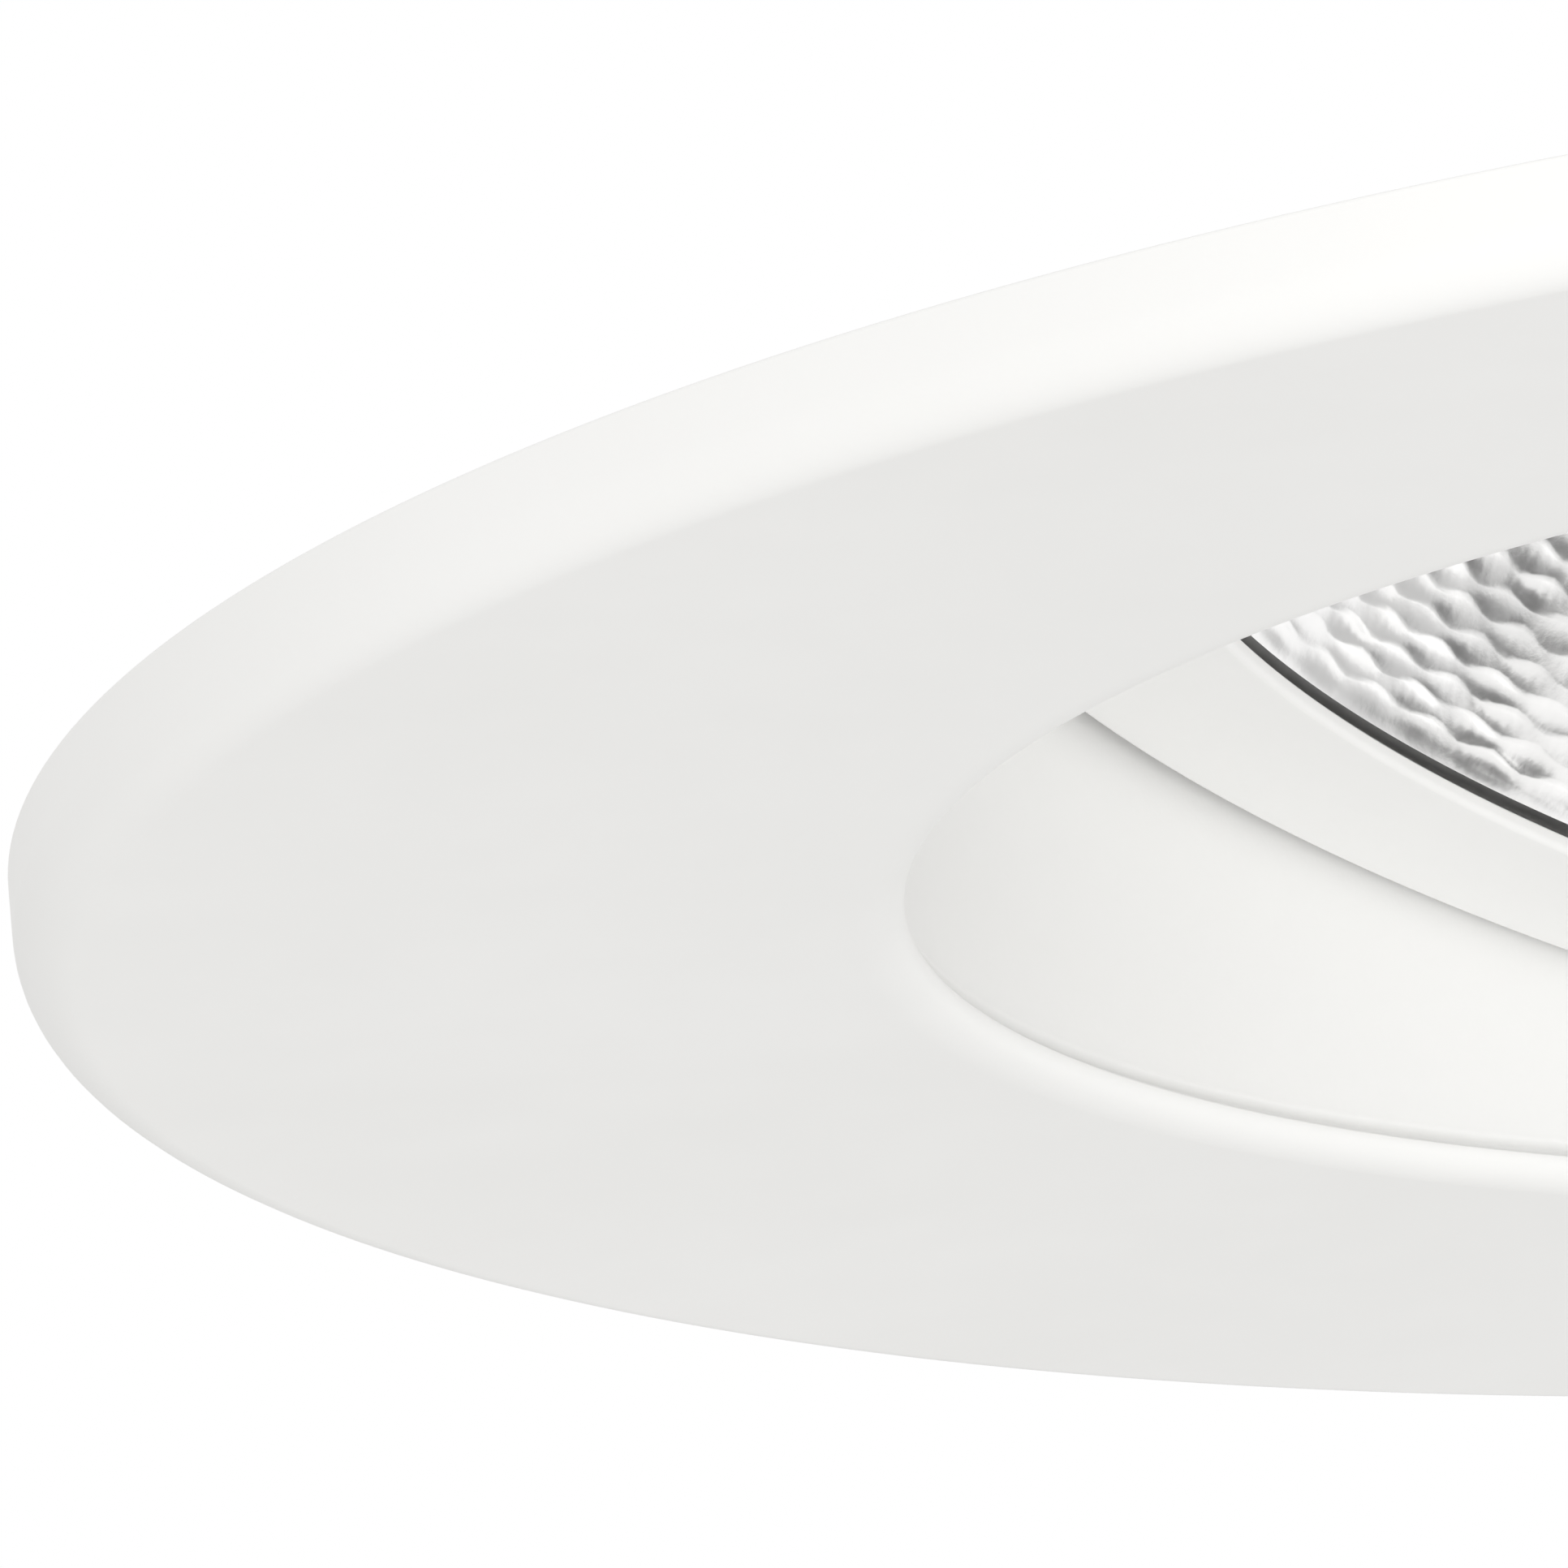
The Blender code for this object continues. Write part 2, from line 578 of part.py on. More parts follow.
def make_pivot_screws(tilt):
    seat = PIVOT_BOSS_END + GAP + PIVOT_WASHER_T + GAP
    for number, side in ((1, 1), (2, -1)):
        pivot = screw(f"pivot_screw_{number}", M3_PIVOT, PIVOT_SCREW_TIP, seat, (0, 0), tilt)
        pivot.rotation_euler = (-side * math.pi / 2, 0, 0)


def make_reflector(tilt):
    """A thin parabolic shell with a flat rim at its mouth and a short neck at its throat."""
    throat = REFLECTOR_APEX - REFLECTOR_THROAT_R**2 / REFLECTOR_4F
    shares = [(i / REFLECTOR_STEPS) ** 1.3 for i in range(REFLECTOR_STEPS + 1)]
    heights = [throat + (REFLECTOR_MOUTH - throat) * share for share in shares]
    rim_top = REFLECTOR_MOUTH + REFLECTOR_T
    outer = [(REFLECTOR_THROAT_R + REFLECTOR_T, REFLECTOR_NECK_TOP)]
    outer += [(reflector_radius(h) + REFLECTOR_T, h) for h in heights if h > rim_top]
    outer += [(reflector_radius(rim_top) + REFLECTOR_T, rim_top)]
    rim = [(REFLECTOR_RIM_R, rim_top), (REFLECTOR_RIM_R, REFLECTOR_MOUTH)]
    inner = [(reflector_radius(h), h) for h in reversed(heights)]
    inner += [(REFLECTOR_THROAT_R, REFLECTOR_NECK_TOP)]
    turned("reflector", outer + rim + inner, MATERIALS["mirror"], tilt)


def make_lamp_housing(tilt):
    """The shell round the reflector: a foot on the gimbal ring, a cone, and a top under the heat sink."""
    cone_low, cone_high = HOUSING_CONE
    heel = REFLECTOR_MOUTH + REFLECTOR_T + GAP
    profile = [
        (HOUSING_HEAD_R, HOUSING_TOP),
        (HOUSING_HEAD_R, cone_high),
        (HOUSING_FOOT_R, cone_low),
        (HOUSING_FOOT_R, HOUSING_FLANGE_TOP),
        (HOUSING_FLANGE_R, HOUSING_FLANGE_TOP),
        (HOUSING_FLANGE_R, -GAP),
        (HOUSING_HEEL_R[1], -GAP),
        (HOUSING_HEEL_R[1], heel),
        (HOUSING_HEEL_R[0], heel),
        (HOUSING_FOOT_R - HOUSING_T, cone_low),
        (HOUSING_HEAD_R - HOUSING_T, cone_high),
        (HOUSING_HOLE_R, HOUSING_TOP - HOUSING_TOP_T),
        (HOUSING_HOLE_R, HOUSING_TOP),
    ]
    housing = turned("lamp_housing", profile, MATERIALS["housing"], tilt)
    for side in (-1, 1):
        low_y, high_y = sorted((side * (LUG_INNER - 0.3 * MM), side * RING_R))
        half = LUG_HALF_WIDTH + HOUSING_NOTCH_MARGIN
        notch = box(f"housing_notch_{side}", (-half, low_y, -3 * MM), (half, high_y, 3 * MM), parent=tilt)
        combine(housing, [notch], "DIFFERENCE")
    for number, angle in enumerate(HOUSING_SCREW_ANGLES, 1):
        at = around(HOUSING_SCREW_R, angle)
        hole = rod(f"housing_hole_{number}", M2_HOLE_R, -2 * MM, 3 * MM, at=(*at, 0), parent=tilt)
        combine(housing, [hole], "DIFFERENCE")
        seat = HOUSING_FLANGE_TOP + GAP
        screw(f"housing_screw_{number}", M2, RING_BACK + 0.1 * MM, seat, at, tilt)
    for angle in SINK_SCREW_ANGLES:
        at = (*around(SINK_SCREW_R, angle), 0)
        low, high = HOUSING_TOP - HOUSING_TOP_T - 2 * MM, HOUSING_TOP + 2 * MM
        hole = rod(f"housing_top_hole_{angle}", M25_HOLE_R, low, high, at=at, parent=tilt)
        combine(housing, [hole], "DIFFERENCE")
    return housing


def make_grommet(tilt, housing):
    """The rubber cable inlet, set square in the housing's cone, over one of the pivot screws."""
    cone_low, cone_high = HOUSING_CONE
    slope = math.atan2(HOUSING_FOOT_R - HOUSING_HEAD_R, cone_high - cone_low)
    share = (GROMMET_HEIGHT - cone_low) / (cone_high - cone_low)
    wall = HOUSING_FOOT_R + (HOUSING_HEAD_R - HOUSING_FOOT_R) * share - HOUSING_T / 2
    frame = add_empty("grommet_frame", tilt, (0, wall, GROMMET_HEIGHT), (-math.pi / 2 + slope, 0, 0))
    reach = 6 * MM
    hole = rod("grommet_hole", GROMMET_HOLE_R, -reach, reach, parent=frame)
    combine(housing, [hole], "DIFFERENCE")
    near, far = GROMMET_HALF
    neck_r = GROMMET_HOLE_R - GAP
    profile = [
        (GROMMET_R - GROMMET_CHAMFER, far),
        (GROMMET_R, far - GROMMET_CHAMFER),
        (GROMMET_R, near),
        (neck_r, near),
        (neck_r, -near),
        (GROMMET_R, -near),
        (GROMMET_R, -far),
        (GROMMET_BORE_R, -far),
        (GROMMET_BORE_R, far),
    ]
    turned("cable_grommet", profile, MATERIALS["grommet"], frame, SIDES_SMALL)


def fin_outline():
    """The section across the fins: a round core with straight fins of one thickness."""
    points = []
    pitch = 2 * math.pi / FIN_COUNT
    root = math.asin(FIN_HALF_T / SINK_CORE_R)
    tip = math.asin(FIN_HALF_T / SINK_R)
    for k in range(FIN_COUNT):
        middle = pitch * k
        for radius, turn in ((SINK_CORE_R, -root), (SINK_R, -tip), (SINK_R, tip), (SINK_CORE_R, root)):
            angle = middle + turn
            points.append((radius * math.cos(angle), radius * math.sin(angle)))
    return points


def make_heat_sink(tilt):
    base_low, base_high = SINK_BASE
    profile = [(0, base_high), (SINK_BASE_R, base_high), (SINK_BASE_R, base_low), (0, base_low)]
    sink = turned("heat_sink", profile, MATERIALS["sink"], tilt, SIDES_RING, closed=False)
    fins = plate("sink_fins", fin_outline(), base_high - 0.8 * MM, SINK_TOP, None, tilt)
    combine(sink, [fins], "UNION")
    for number, angle in enumerate(SINK_SCREW_ANGLES, 1):
        at = around(SINK_SCREW_R, angle)
        low, high = base_low - 2 * MM, base_high + 2 * MM
        hole = rod(f"sink_hole_{number}", M25_HOLE_R, low, high, at=(*at, 0), parent=tilt)
        combine(sink, [hole], "DIFFERENCE")
        screw(f"sink_screw_{number}", M25, SINK_SCREW_TIP, base_high + GAP, at, tilt)
    for side in (-1, 1):
        at = (side * HOLDER_SCREW_R, 0, 0)
        low = base_low - 2 * MM
        hole = rod(f"sink_pilot_{side}", M2_LOW_HOLE_R, low, SINK_PILOT_END, at=at, parent=tilt)
        combine(sink, [hole], "DIFFERENCE")


def make_led(tilt):
    """The light source, from the heat sink down: pad, board, glowing disc, and the holder that clamps it."""
    pad_top = SINK_BASE[0] - GAP
    pad_r, pad_t = PAD
    pad_low = pad_top - pad_t
    pad = [(0, pad_top), (pad_r, pad_top), (pad_r, pad_low), (0, pad_low)]
    turned("thermal_pad", pad, MATERIALS["pad"], tilt, SIDES_ROUND, closed=False)
    half = BOARD_SIDE / 2
    board_top = pad_low - GAP
    board_low = board_top - BOARD_T
    box("led_board", (-half, -half, board_low), (half, half, board_top), MATERIALS["board"], tilt)
    shelf = board_low - GAP
    disc_r, edge_t, middle_t = EMITTER
    disc = [(0, shelf), (disc_r, shelf), (disc_r, shelf - edge_t), (0, shelf - middle_t)]
    turned("led_emitter", disc, MATERIALS["phosphor"], tilt, SIDES_ROUND, closed=False)
    inner_r, outer_r = HOLDER_MOUTH_R
    profile = [
        (HOLDER_R, pad_top),
        (HOLDER_R, HOLDER_FACE + HOLDER_CHAMFER),
        (HOLDER_R - HOLDER_CHAMFER, HOLDER_FACE),
        (outer_r, HOLDER_FACE),
        (inner_r, shelf - HOLDER_LIP_T),
        (inner_r, shelf),
        (HOLDER_POCKET_R, shelf),
        (HOLDER_POCKET_R, pad_top),
    ]
    holder = turned("led_holder", profile, MATERIALS["holder"], tilt, SIDES_ROUND)
    for number, side in ((1, 1), (2, -1)):
        at = (side * HOLDER_SCREW_R, 0, 0)
        low, high = HOLDER_FACE - 2 * MM, SINK_BASE[0] + 2 * MM
        hole = rod(f"holder_hole_{number}", M2_LOW_HOLE_R, low, high, at=at, parent=tilt)
        combine(holder, [hole], "DIFFERENCE")
        fixing = screw(f"led_screw_{number}", M2_LOW, -HOLDER_SCREW_TIP, GAP - HOLDER_FACE, (0, 0), tilt)
        fixing.location = at
        fixing.rotation_euler = (math.pi, 0, 0)


def main():
    make_trim()
    ring("ceiling_gasket", GASKET_R, (GROOVE_Z + GAP, GASKET_TOP), MATERIALS["foam"])
    ring("glide_ring", GLIDE_R, (LEDGE_Z + GAP, SWIVEL_FLANGE_Z[0] - GAP), MATERIALS["nylon"])
    make_mounting_ring()
    make_stop_pin()
    make_clips()
    swivel = add_empty("swivel_axis", rotation=(0, 0, AIM_AZIMUTH))
    make_swivel_ring(swivel)
    tilt = add_empty("tilt_axis", swivel, (0, 0, PIVOT_Z), (0, AIM_TILT, 0))
    make_gimbal_ring(tilt)
    make_pivot_screws(tilt)
    make_reflector(tilt)
    housing = make_lamp_housing(tilt)
    make_grommet(tilt, housing)
    make_heat_sink(tilt)
    make_led(tilt)


for old in list(bpy.data.objects):
    bpy.data.objects.remove(old)
PARTS = make_collection("recessed_downlight")
CUTTERS = make_collection("cutters")
MATERIALS = make_materials()
main()
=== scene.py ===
"""The looks of the recessed downlight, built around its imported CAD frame.

Everything is in metres in the part's own frame: z = 0 is the ceiling's underside, +Z is up. Pieces of the
lamp unit are made upright about the tilt pivot, then leaned into place. The pivot and the lean are read from
the joints.
"""
import json
import math

import bmesh
import bpy
import numpy as np
from mathutils import Matrix, Vector


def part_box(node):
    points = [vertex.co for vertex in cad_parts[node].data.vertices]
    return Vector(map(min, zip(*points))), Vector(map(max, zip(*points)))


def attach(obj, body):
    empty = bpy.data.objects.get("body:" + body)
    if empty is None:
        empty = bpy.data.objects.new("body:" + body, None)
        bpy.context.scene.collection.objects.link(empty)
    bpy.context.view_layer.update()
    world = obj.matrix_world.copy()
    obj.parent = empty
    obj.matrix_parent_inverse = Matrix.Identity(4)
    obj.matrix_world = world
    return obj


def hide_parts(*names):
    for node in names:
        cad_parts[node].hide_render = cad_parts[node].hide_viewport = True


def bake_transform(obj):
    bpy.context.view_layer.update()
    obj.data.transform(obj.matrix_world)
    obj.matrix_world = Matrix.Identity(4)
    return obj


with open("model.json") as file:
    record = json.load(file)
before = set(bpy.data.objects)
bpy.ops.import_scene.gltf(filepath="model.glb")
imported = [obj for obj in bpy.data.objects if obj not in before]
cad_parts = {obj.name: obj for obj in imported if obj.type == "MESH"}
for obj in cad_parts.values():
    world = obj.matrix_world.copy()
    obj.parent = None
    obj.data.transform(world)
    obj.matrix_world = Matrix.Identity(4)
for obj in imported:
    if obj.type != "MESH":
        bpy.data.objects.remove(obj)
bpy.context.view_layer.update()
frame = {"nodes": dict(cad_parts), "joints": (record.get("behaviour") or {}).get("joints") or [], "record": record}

MM = 0.001
RNG = np.random.RandomState(7)
RECORD = frame["record"]
JOINTS = {joint["name"]: joint for joint in frame["joints"]}
BODIES = {node: body for body, nodes in RECORD["behaviour"]["bodies"].items() for node in nodes}

# Lamp unit's pivot and lean, from its joint: upright is the joint's lower limit.
TILT = JOINTS["lamp_tilt"]
PIVOT = Vector(TILT["pos_m"])
AIM_AZIMUTH = math.atan2(-TILT["axis"][0], TILT["axis"][1])
AIM_TILT = math.radians(-TILT["range_deg"][0])
SWIVEL = Matrix.Rotation(AIM_AZIMUTH, 4, "Z")
LAMP = Matrix.Translation(PIVOT) @ SWIVEL @ Matrix.Rotation(AIM_TILT, 4, "Y")
PIVOT_SIDES = {1: -math.pi / 2, 2: math.pi / 2}
CLIP_DROOP = math.radians(22)

# Camera: a long lens, looking up at the fitting from below.
CAMERA_DISTANCE = 1.449
CAMERA_ELEVATION = math.radians(14.2)
CAMERA_ROLL = math.radians(-5.0)
CENTRE_RIGHT = 0.0620      # how far right of the view's middle the fitting's centre is
CENTRE_DOWN = -0.00386
LENS_MM = 931.7
SENSOR_MM = 36.0

# Scenery.
FLOOR_Z = -30.0 * MM
CEILING_R = 0.9
CEILING_HOLE_R = 88.0 * MM
SKY_LOW = 0.53
SKY_HIGH = 0.82
LEFT_GLOW = 0.33
RIGHT_GLOW = 0.97
PANEL_GLOW = 0.5
SHADE = 0.66
DARK_PATCH = 0.2
STUDIO_TINT = (1.0, 0.995, 0.985, 1)

NOISE_REACH = (0.3, 0.7)    # where most of a noise's values lie
RING_SIDES = 240
ROUND_SIDES = 96
SHARP_ANGLE = math.radians(32)
SCREW_SIDES = 48


# ---- materials

def add_node(tree, kind, **values):
    """A shader node with its sockets set or wired. In a socket's name, _ stands for a space."""
    node = tree.nodes.new("ShaderNode" + kind)
    for name, value in values.items():
        socket = node.inputs[name.replace("_", " ")]
        if isinstance(value, bpy.types.NodeSocket):
            tree.links.new(value, socket)
        else:
            socket.default_value = value
    return node


def map_range(tree, source, start, end, low, high):
    return add_node(tree, "MapRange", Value=source, From_Min=start, From_Max=end, To_Min=low, To_Max=high)


class Shader:
    """A Principled material and short calls that add nodes to it."""

    def __init__(self, name, colour, roughness, metallic=0.0, **sockets):
        self.material = bpy.data.materials.new(name)
        self.material.use_nodes = True
        self.tree = self.material.node_tree
        self.main = self.tree.nodes["Principled BSDF"]
        self.main.inputs["Base Color"].default_value = (*colour, 1)
        self.main.inputs["Roughness"].default_value = roughness
        self.main.inputs["Metallic"].default_value = metallic
        for socket, value in sockets.items():
            self.main.inputs[socket.replace("_", " ")].default_value = value
        self.place = add_node(self.tree, "TexCoord").outputs["Object"]

    def stretched(self, scale):
        return add_node(self.tree, "Mapping", Scale=scale, Vector=self.place).outputs["Vector"]

    def noise(self, size, detail=3.0, rough=0.5, vector=None):
        """Noise whose blobs are about size metres across."""
        where = vector or self.place
        node = add_node(self.tree, "TexNoise", Scale=1 / size, Detail=detail, Roughness=rough, Vector=where)
        return node.outputs["Fac"]

    def cells(self, size):
        return add_node(self.tree, "TexVoronoi", Scale=1 / size, Vector=self.place).outputs["Distance"]

    def colours(self, source, *stops):
        """stops are (position, colour)."""
        ramp = add_node(self.tree, "ValToRGB", Fac=source)
        elements = ramp.color_ramp.elements
        while len(elements) < len(stops):
            elements.new(0.5)
        for element, (position, colour) in zip(elements, stops):
            element.position = position
            element.color = (*colour, 1)
        self.tree.links.new(ramp.outputs["Color"], self.main.inputs["Base Color"])

    def rough(self, source, low, high):
        node = map_range(self.tree, source, *NOISE_REACH, low, high)
        self.tree.links.new(node.outputs["Result"], self.main.inputs["Roughness"])

    def bump(self, *layers):
        """layers are (source, height in metres), laid one on another."""
        normal = None
        for source, height in layers:
            below = {"Normal": normal} if normal else {}
            normal = add_node(self.tree, "Bump", Distance=height, Height=source, **below).outputs["Normal"]
        self.tree.links.new(normal, self.main.inputs["Normal"])


def white_coat():
    """Smooth white powder coat: a fine orange peel and hardly any change of tone."""
    s = Shader("white_coat", (0.86, 0.86, 0.85), 0.42, Specular_IOR_Level=0.45)
    s.colours(s.noise(0.03, 2), (0.35, (0.855, 0.855, 0.845)), (0.65, (0.87, 0.87, 0.862)))
    s.rough(s.noise(0.004, 4), 0.38, 0.47)
    s.bump((s.noise(0.0011, 2), 0.000012), (s.noise(0.00022, 2), 0.000004))
    return s.material


def hammered_metal():
    """Bright anodised aluminium. The facets are in the mesh."""
    s = Shader("hammered_aluminium", (0.93, 0.93, 0.93), 0.2, 1.0)
    s.colours(s.noise(0.006), (0.3, (0.90, 0.90, 0.905)), (0.7, (0.95, 0.948, 0.945)))
    s.rough(s.noise(0.0012, 4), 0.15, 0.22)
    s.bump((s.noise(0.00035), 0.000004))
    return s.material


def black_coat():
    s = Shader("black_texture_coat", (0.03, 0.03, 0.032), 0.55)
    s.colours(s.noise(0.008), (0.3, (0.022, 0.022, 0.024)), (0.7, (0.042, 0.042, 0.044)))
    s.rough(s.noise(0.0008), 0.45, 0.68)
    s.bump((s.noise(0.00045), 0.00007))
    return s.material


def cast_aluminium():
    s = Shader("cast_aluminium", (0.62, 0.63, 0.64), 0.45, 1.0)
    s.colours(s.noise(0.007, 5, 0.6), (0.3, (0.50, 0.505, 0.515)), (0.7, (0.68, 0.685, 0.69)))
    s.rough(s.noise(0.0009, 4), 0.36, 0.58)
    s.bump((s.noise(0.0004), 0.00004), (s.noise(0.004), 0.00004))
    return s.material


def zinc_plate():
    """Bright zinc on rolled sheet: fine streaks along X and a faint straw and blue tint."""
    s = Shader("zinc_plate", (0.66, 0.67, 0.69), 0.32, 1.0)
    tint = s.noise(0.009, 4, 0.55)
    s.colours(tint, (0.3, (0.60, 0.615, 0.65)), (0.5, (0.68, 0.685, 0.69)), (0.7, (0.69, 0.665, 0.60)))
    streaks = s.noise(0.0004, vector=s.stretched((0.12, 1, 1)))
    s.rough(streaks, 0.24, 0.42)
    s.bump((streaks, 0.000012))
    return s.material


def spring_steel():
    s = Shader("spring_steel", (0.36, 0.36, 0.375), 0.3, 1.0)
    s.colours(s.noise(0.003), (0.35, (0.28, 0.28, 0.295)), (0.65, (0.42, 0.42, 0.43)))
    s.rough(s.noise(0.0006), 0.22, 0.42)
    s.bump((s.noise(0.00025, 2), 0.000008))
    return s.material


def screw_steel():
    s = Shader("screw_steel", (0.58, 0.58, 0.60), 0.28, 1.0)
    s.colours(s.noise(0.0022), (0.35, (0.50, 0.505, 0.525)), (0.65, (0.65, 0.65, 0.66)))
    s.rough(s.noise(0.0007), 0.2, 0.38)
    s.bump((s.noise(0.0003, 2), 0.000008))
    return s.material


def nylon():
    s = Shader("nylon", (0.78, 0.77, 0.71), 0.45, Subsurface_Weight=0.12, Subsurface_Scale=0.002)
    s.colours(s.noise(0.004), (0.35, (0.75, 0.74, 0.68)), (0.65, (0.81, 0.80, 0.75)))
    s.rough(s.noise(0.0015), 0.38, 0.55)
    s.bump((s.noise(0.0004, 2), 0.00001))
    return s.material


def gasket_foam():
    """Closed-cell foam: small open cells on a cut face. The colour darkens towards each cell's sunken middle:
    painted shade in the cell hollows.
    """
    s = Shader("gasket_foam", (0.09, 0.09, 0.095), 0.92)
    cell_depth_and_shade = s.cells(0.0007)
    # Painted shade: the cell field that sinks the bump also darkens each cell's hollow middle.
    s.colours(cell_depth_and_shade, (0.1, (0.045, 0.045, 0.048)), (0.7, (0.13, 0.13, 0.135)))
    s.rough(s.noise(0.002), 0.85, 0.98)
    s.bump((cell_depth_and_shade, 0.00018), (s.noise(0.0002), 0.00004))
    return s.material


def moulded_rubber(name="moulded_rubber", tone=0.035):
    s = Shader(name, (tone, tone, tone), 0.6)
    light = tone * 1.6
    s.colours(s.noise(0.004), (0.35, (tone, tone, tone)), (0.65, (light, light, light * 1.02)))
    s.rough(s.noise(0.001), 0.5, 0.72)
    s.bump((s.noise(0.00035), 0.00002))
    return s.material


def led_ceramic():
    s = Shader("led_ceramic", (0.88, 0.88, 0.86), 0.35)
    s.colours(s.noise(0.003), (0.35, (0.86, 0.86, 0.84)), (0.65, (0.90, 0.90, 0.885)))
    s.rough(s.noise(0.0008), 0.28, 0.42)
    s.bump((s.noise(0.00025, 2), 0.000006))
    return s.material


def led_phosphor():
    """The light-giving disc: phosphor grains in clear silicone."""
    s = Shader("led_phosphor", (0.93, 0.72, 0.16), 0.3, Coat_Weight=0.5, Coat_Roughness=0.08)
    s.colours(s.noise(0.0006, 5, 0.7), (0.3, (0.88, 0.64, 0.11)), (0.7, (0.96, 0.80, 0.24)))
    s.rough(s.noise(0.0008), 0.25, 0.4)
    s.bump((s.noise(0.0003), 0.00001))
    return s.material


def holder_plastic():
    s = Shader("holder_plastic", (0.82, 0.82, 0.80), 0.4)
    s.colours(s.noise(0.005), (0.35, (0.80, 0.80, 0.775)), (0.65, (0.84, 0.84, 0.825)))
    s.rough(s.noise(0.001), 0.34, 0.48)
    s.bump((s.noise(0.0004, 2), 0.000012))
    return s.material


def thermal_pad():
    s = Shader("thermal_pad", (0.42, 0.45, 0.50), 0.75)
    s.colours(s.noise(0.0012, 4), (0.35, (0.38, 0.41, 0.46)), (0.65, (0.46, 0.49, 0.54)))
    s.rough(s.noise(0.0006), 0.68, 0.85)
    s.bump((s.noise(0.0003), 0.00003))
    return s.material


def floor_paint():
    s = Shader("floor_paint", (0.82, 0.82, 0.82), 0.7)
    s.colours(s.noise(0.4), (0.35, (0.81, 0.81, 0.81)), (0.65, (0.83, 0.83, 0.83)))
    return s.material


# ---- mesh building

def new_object(name, mesh, matrix=None):
    obj = bpy.data.objects.new(name, mesh)
    bpy.context.scene.collection.objects.link(obj)
    if matrix is not None:
        obj.matrix_world = matrix
    return obj


def rounded(points, closed=True, steps=4):
    """The outline with its corners rounded. points are (a, b, radius), the radius left out where sharp."""
    result = []
    count = len(points)
    for i, point in enumerate(points):
        corner = Vector(point[:2])
        radius = point[2] if len(point) > 2 else 0
        if radius == 0 or (not closed and i in (0, count - 1)):
            result.append(tuple(corner))
            continue
        before = Vector(points[i - 1][:2]) - corner
        after = Vector(points[(i + 1) % count][:2]) - corner
        half = before.angle(after) / 2
        reach = min(radius / math.tan(half), before.length * 0.49, after.length * 0.49)
        radius = reach * math.tan(half)
        middle = (before.normalized() + after.normalized()).normalized()
        centre = corner + middle * (radius / math.sin(half))
        start = corner + before.normalized() * reach - centre
        end = corner + after.normalized() * reach - centre
        swing = start.angle_signed(end)
        for k in range(steps + 1):
            turn = Matrix.Rotation(-swing * k / steps, 2)
            result.append(tuple(centre + turn @ start))
    return result


def lathe_mesh(name, profile, sides, closed=True):
    """A turned mesh. An open profile starts and ends on the axis."""
    count = len(profile)
    verts, rings = [], []
    for r, z in profile:
        if r < 1e-7:
            rings.append([len(verts)] * sides)
            verts.append((0, 0, z))
            continue
        rings.append(list(range(len(verts), len(verts) + sides)))
        for k in range(sides):
            angle = 2 * math.pi * k / sides
            verts.append((r * math.cos(angle), r * math.sin(angle), z))
    faces = []
    spans = count if closed else count - 1
    for i in range(spans):
        a, b = rings[i], rings[(i + 1) % count]
        for k in range(sides):
            n = (k + 1) % sides
            face = list(dict.fromkeys((a[k], b[k], b[n], a[n])))
            if len(face) > 2:
                faces.append(face)
    mesh = bpy.data.meshes.new(name)
    mesh.from_pydata(verts, [], faces)
    return mesh


def around(radius, degrees):
    return radius * math.cos(math.radians(degrees)), radius * math.sin(math.radians(degrees))


def spot(radius, degrees, spin):
    """A place on a circle, for a piece that is spun about its own axis by so many degrees."""
    return Matrix.Translation((*around(radius, degrees), 0)) @ Matrix.Rotation(math.radians(spin), 4, "Z")


def rectangle(radii, heights, edge, top_edge=None):
    """The section of a flat ring, its corners rounded by edge, or by top_edge at the top."""
    (near, far), (low, high) = radii, heights
    top = top_edge or edge
    return [(far, high, top), (far, low, edge), (near, low, edge), (near, high, top)]


def disc(radius, low, high, low_edge, top_edge):
    """The section of a disc or pin."""
    return [(0, high), (radius, high, top_edge), (radius, low, low_edge), (0, low)]


def lathe(name, points, matrix=None, sides=RING_SIDES, closed=True, steps=4):
    mesh = lathe_mesh(name, rounded(points, closed, steps), sides, closed)
    return new_object(name, mesh, matrix)


def outward(mesh):
    """Makes the faces point out, for a closed mesh."""
    work = bmesh.new()
    work.from_mesh(mesh)
    bmesh.ops.recalc_face_normals(work, faces=work.faces)
    work.to_mesh(mesh)
    work.free()


def rod(name, radius, low, high, at=(0, 0), sides=32, matrix=None, along="Z"):
    mesh = lathe_mesh(name, [(0, high), (radius, high), (radius, low), (0, low)], sides, closed=False)
    turn = Matrix.Rotation(-math.pi / 2 if along == "Y" else 0, 4, "X")
    mesh.transform(Matrix.Translation((*at, 0)) @ turn)
    outward(mesh)
    return new_object(name, mesh, matrix)


def rods(radius, low, high, circle, angles, matrix=None):
    """Upright rods on a circle, for bosses and holes."""
    return [rod("rod", radius, low, high, around(circle, a), matrix=matrix) for a in angles]


def block(name, low, high, matrix=None):
    mesh = bpy.data.meshes.new(name)
    work = bmesh.new()
    bmesh.ops.create_cube(work, size=1)
    size = Vector(high) - Vector(low)
    middle = (Vector(high) + Vector(low)) / 2
    work.transform(Matrix.Translation(middle) @ Matrix.Diagonal((*size, 1)))
    work.to_mesh(mesh)
    work.free()
    return new_object(name, mesh, matrix)


def extruded(name, outline, low, high, matrix=None):
    """A flat outline made into a slab from low to high."""
    work = bmesh.new()
    face = work.faces.new([work.verts.new((x, y, low)) for x, y in outline])
    made = bmesh.ops.extrude_face_region(work, geom=[face])
    top = [v for v in made["geom"] if isinstance(v, bmesh.types.BMVert)]
    bmesh.ops.translate(work, verts=top, vec=(0, 0, high - low))
    bmesh.ops.recalc_face_normals(work, faces=work.faces)
    mesh = bpy.data.meshes.new(name)
    work.to_mesh(mesh)
    work.free()
    return new_object(name, mesh, matrix)


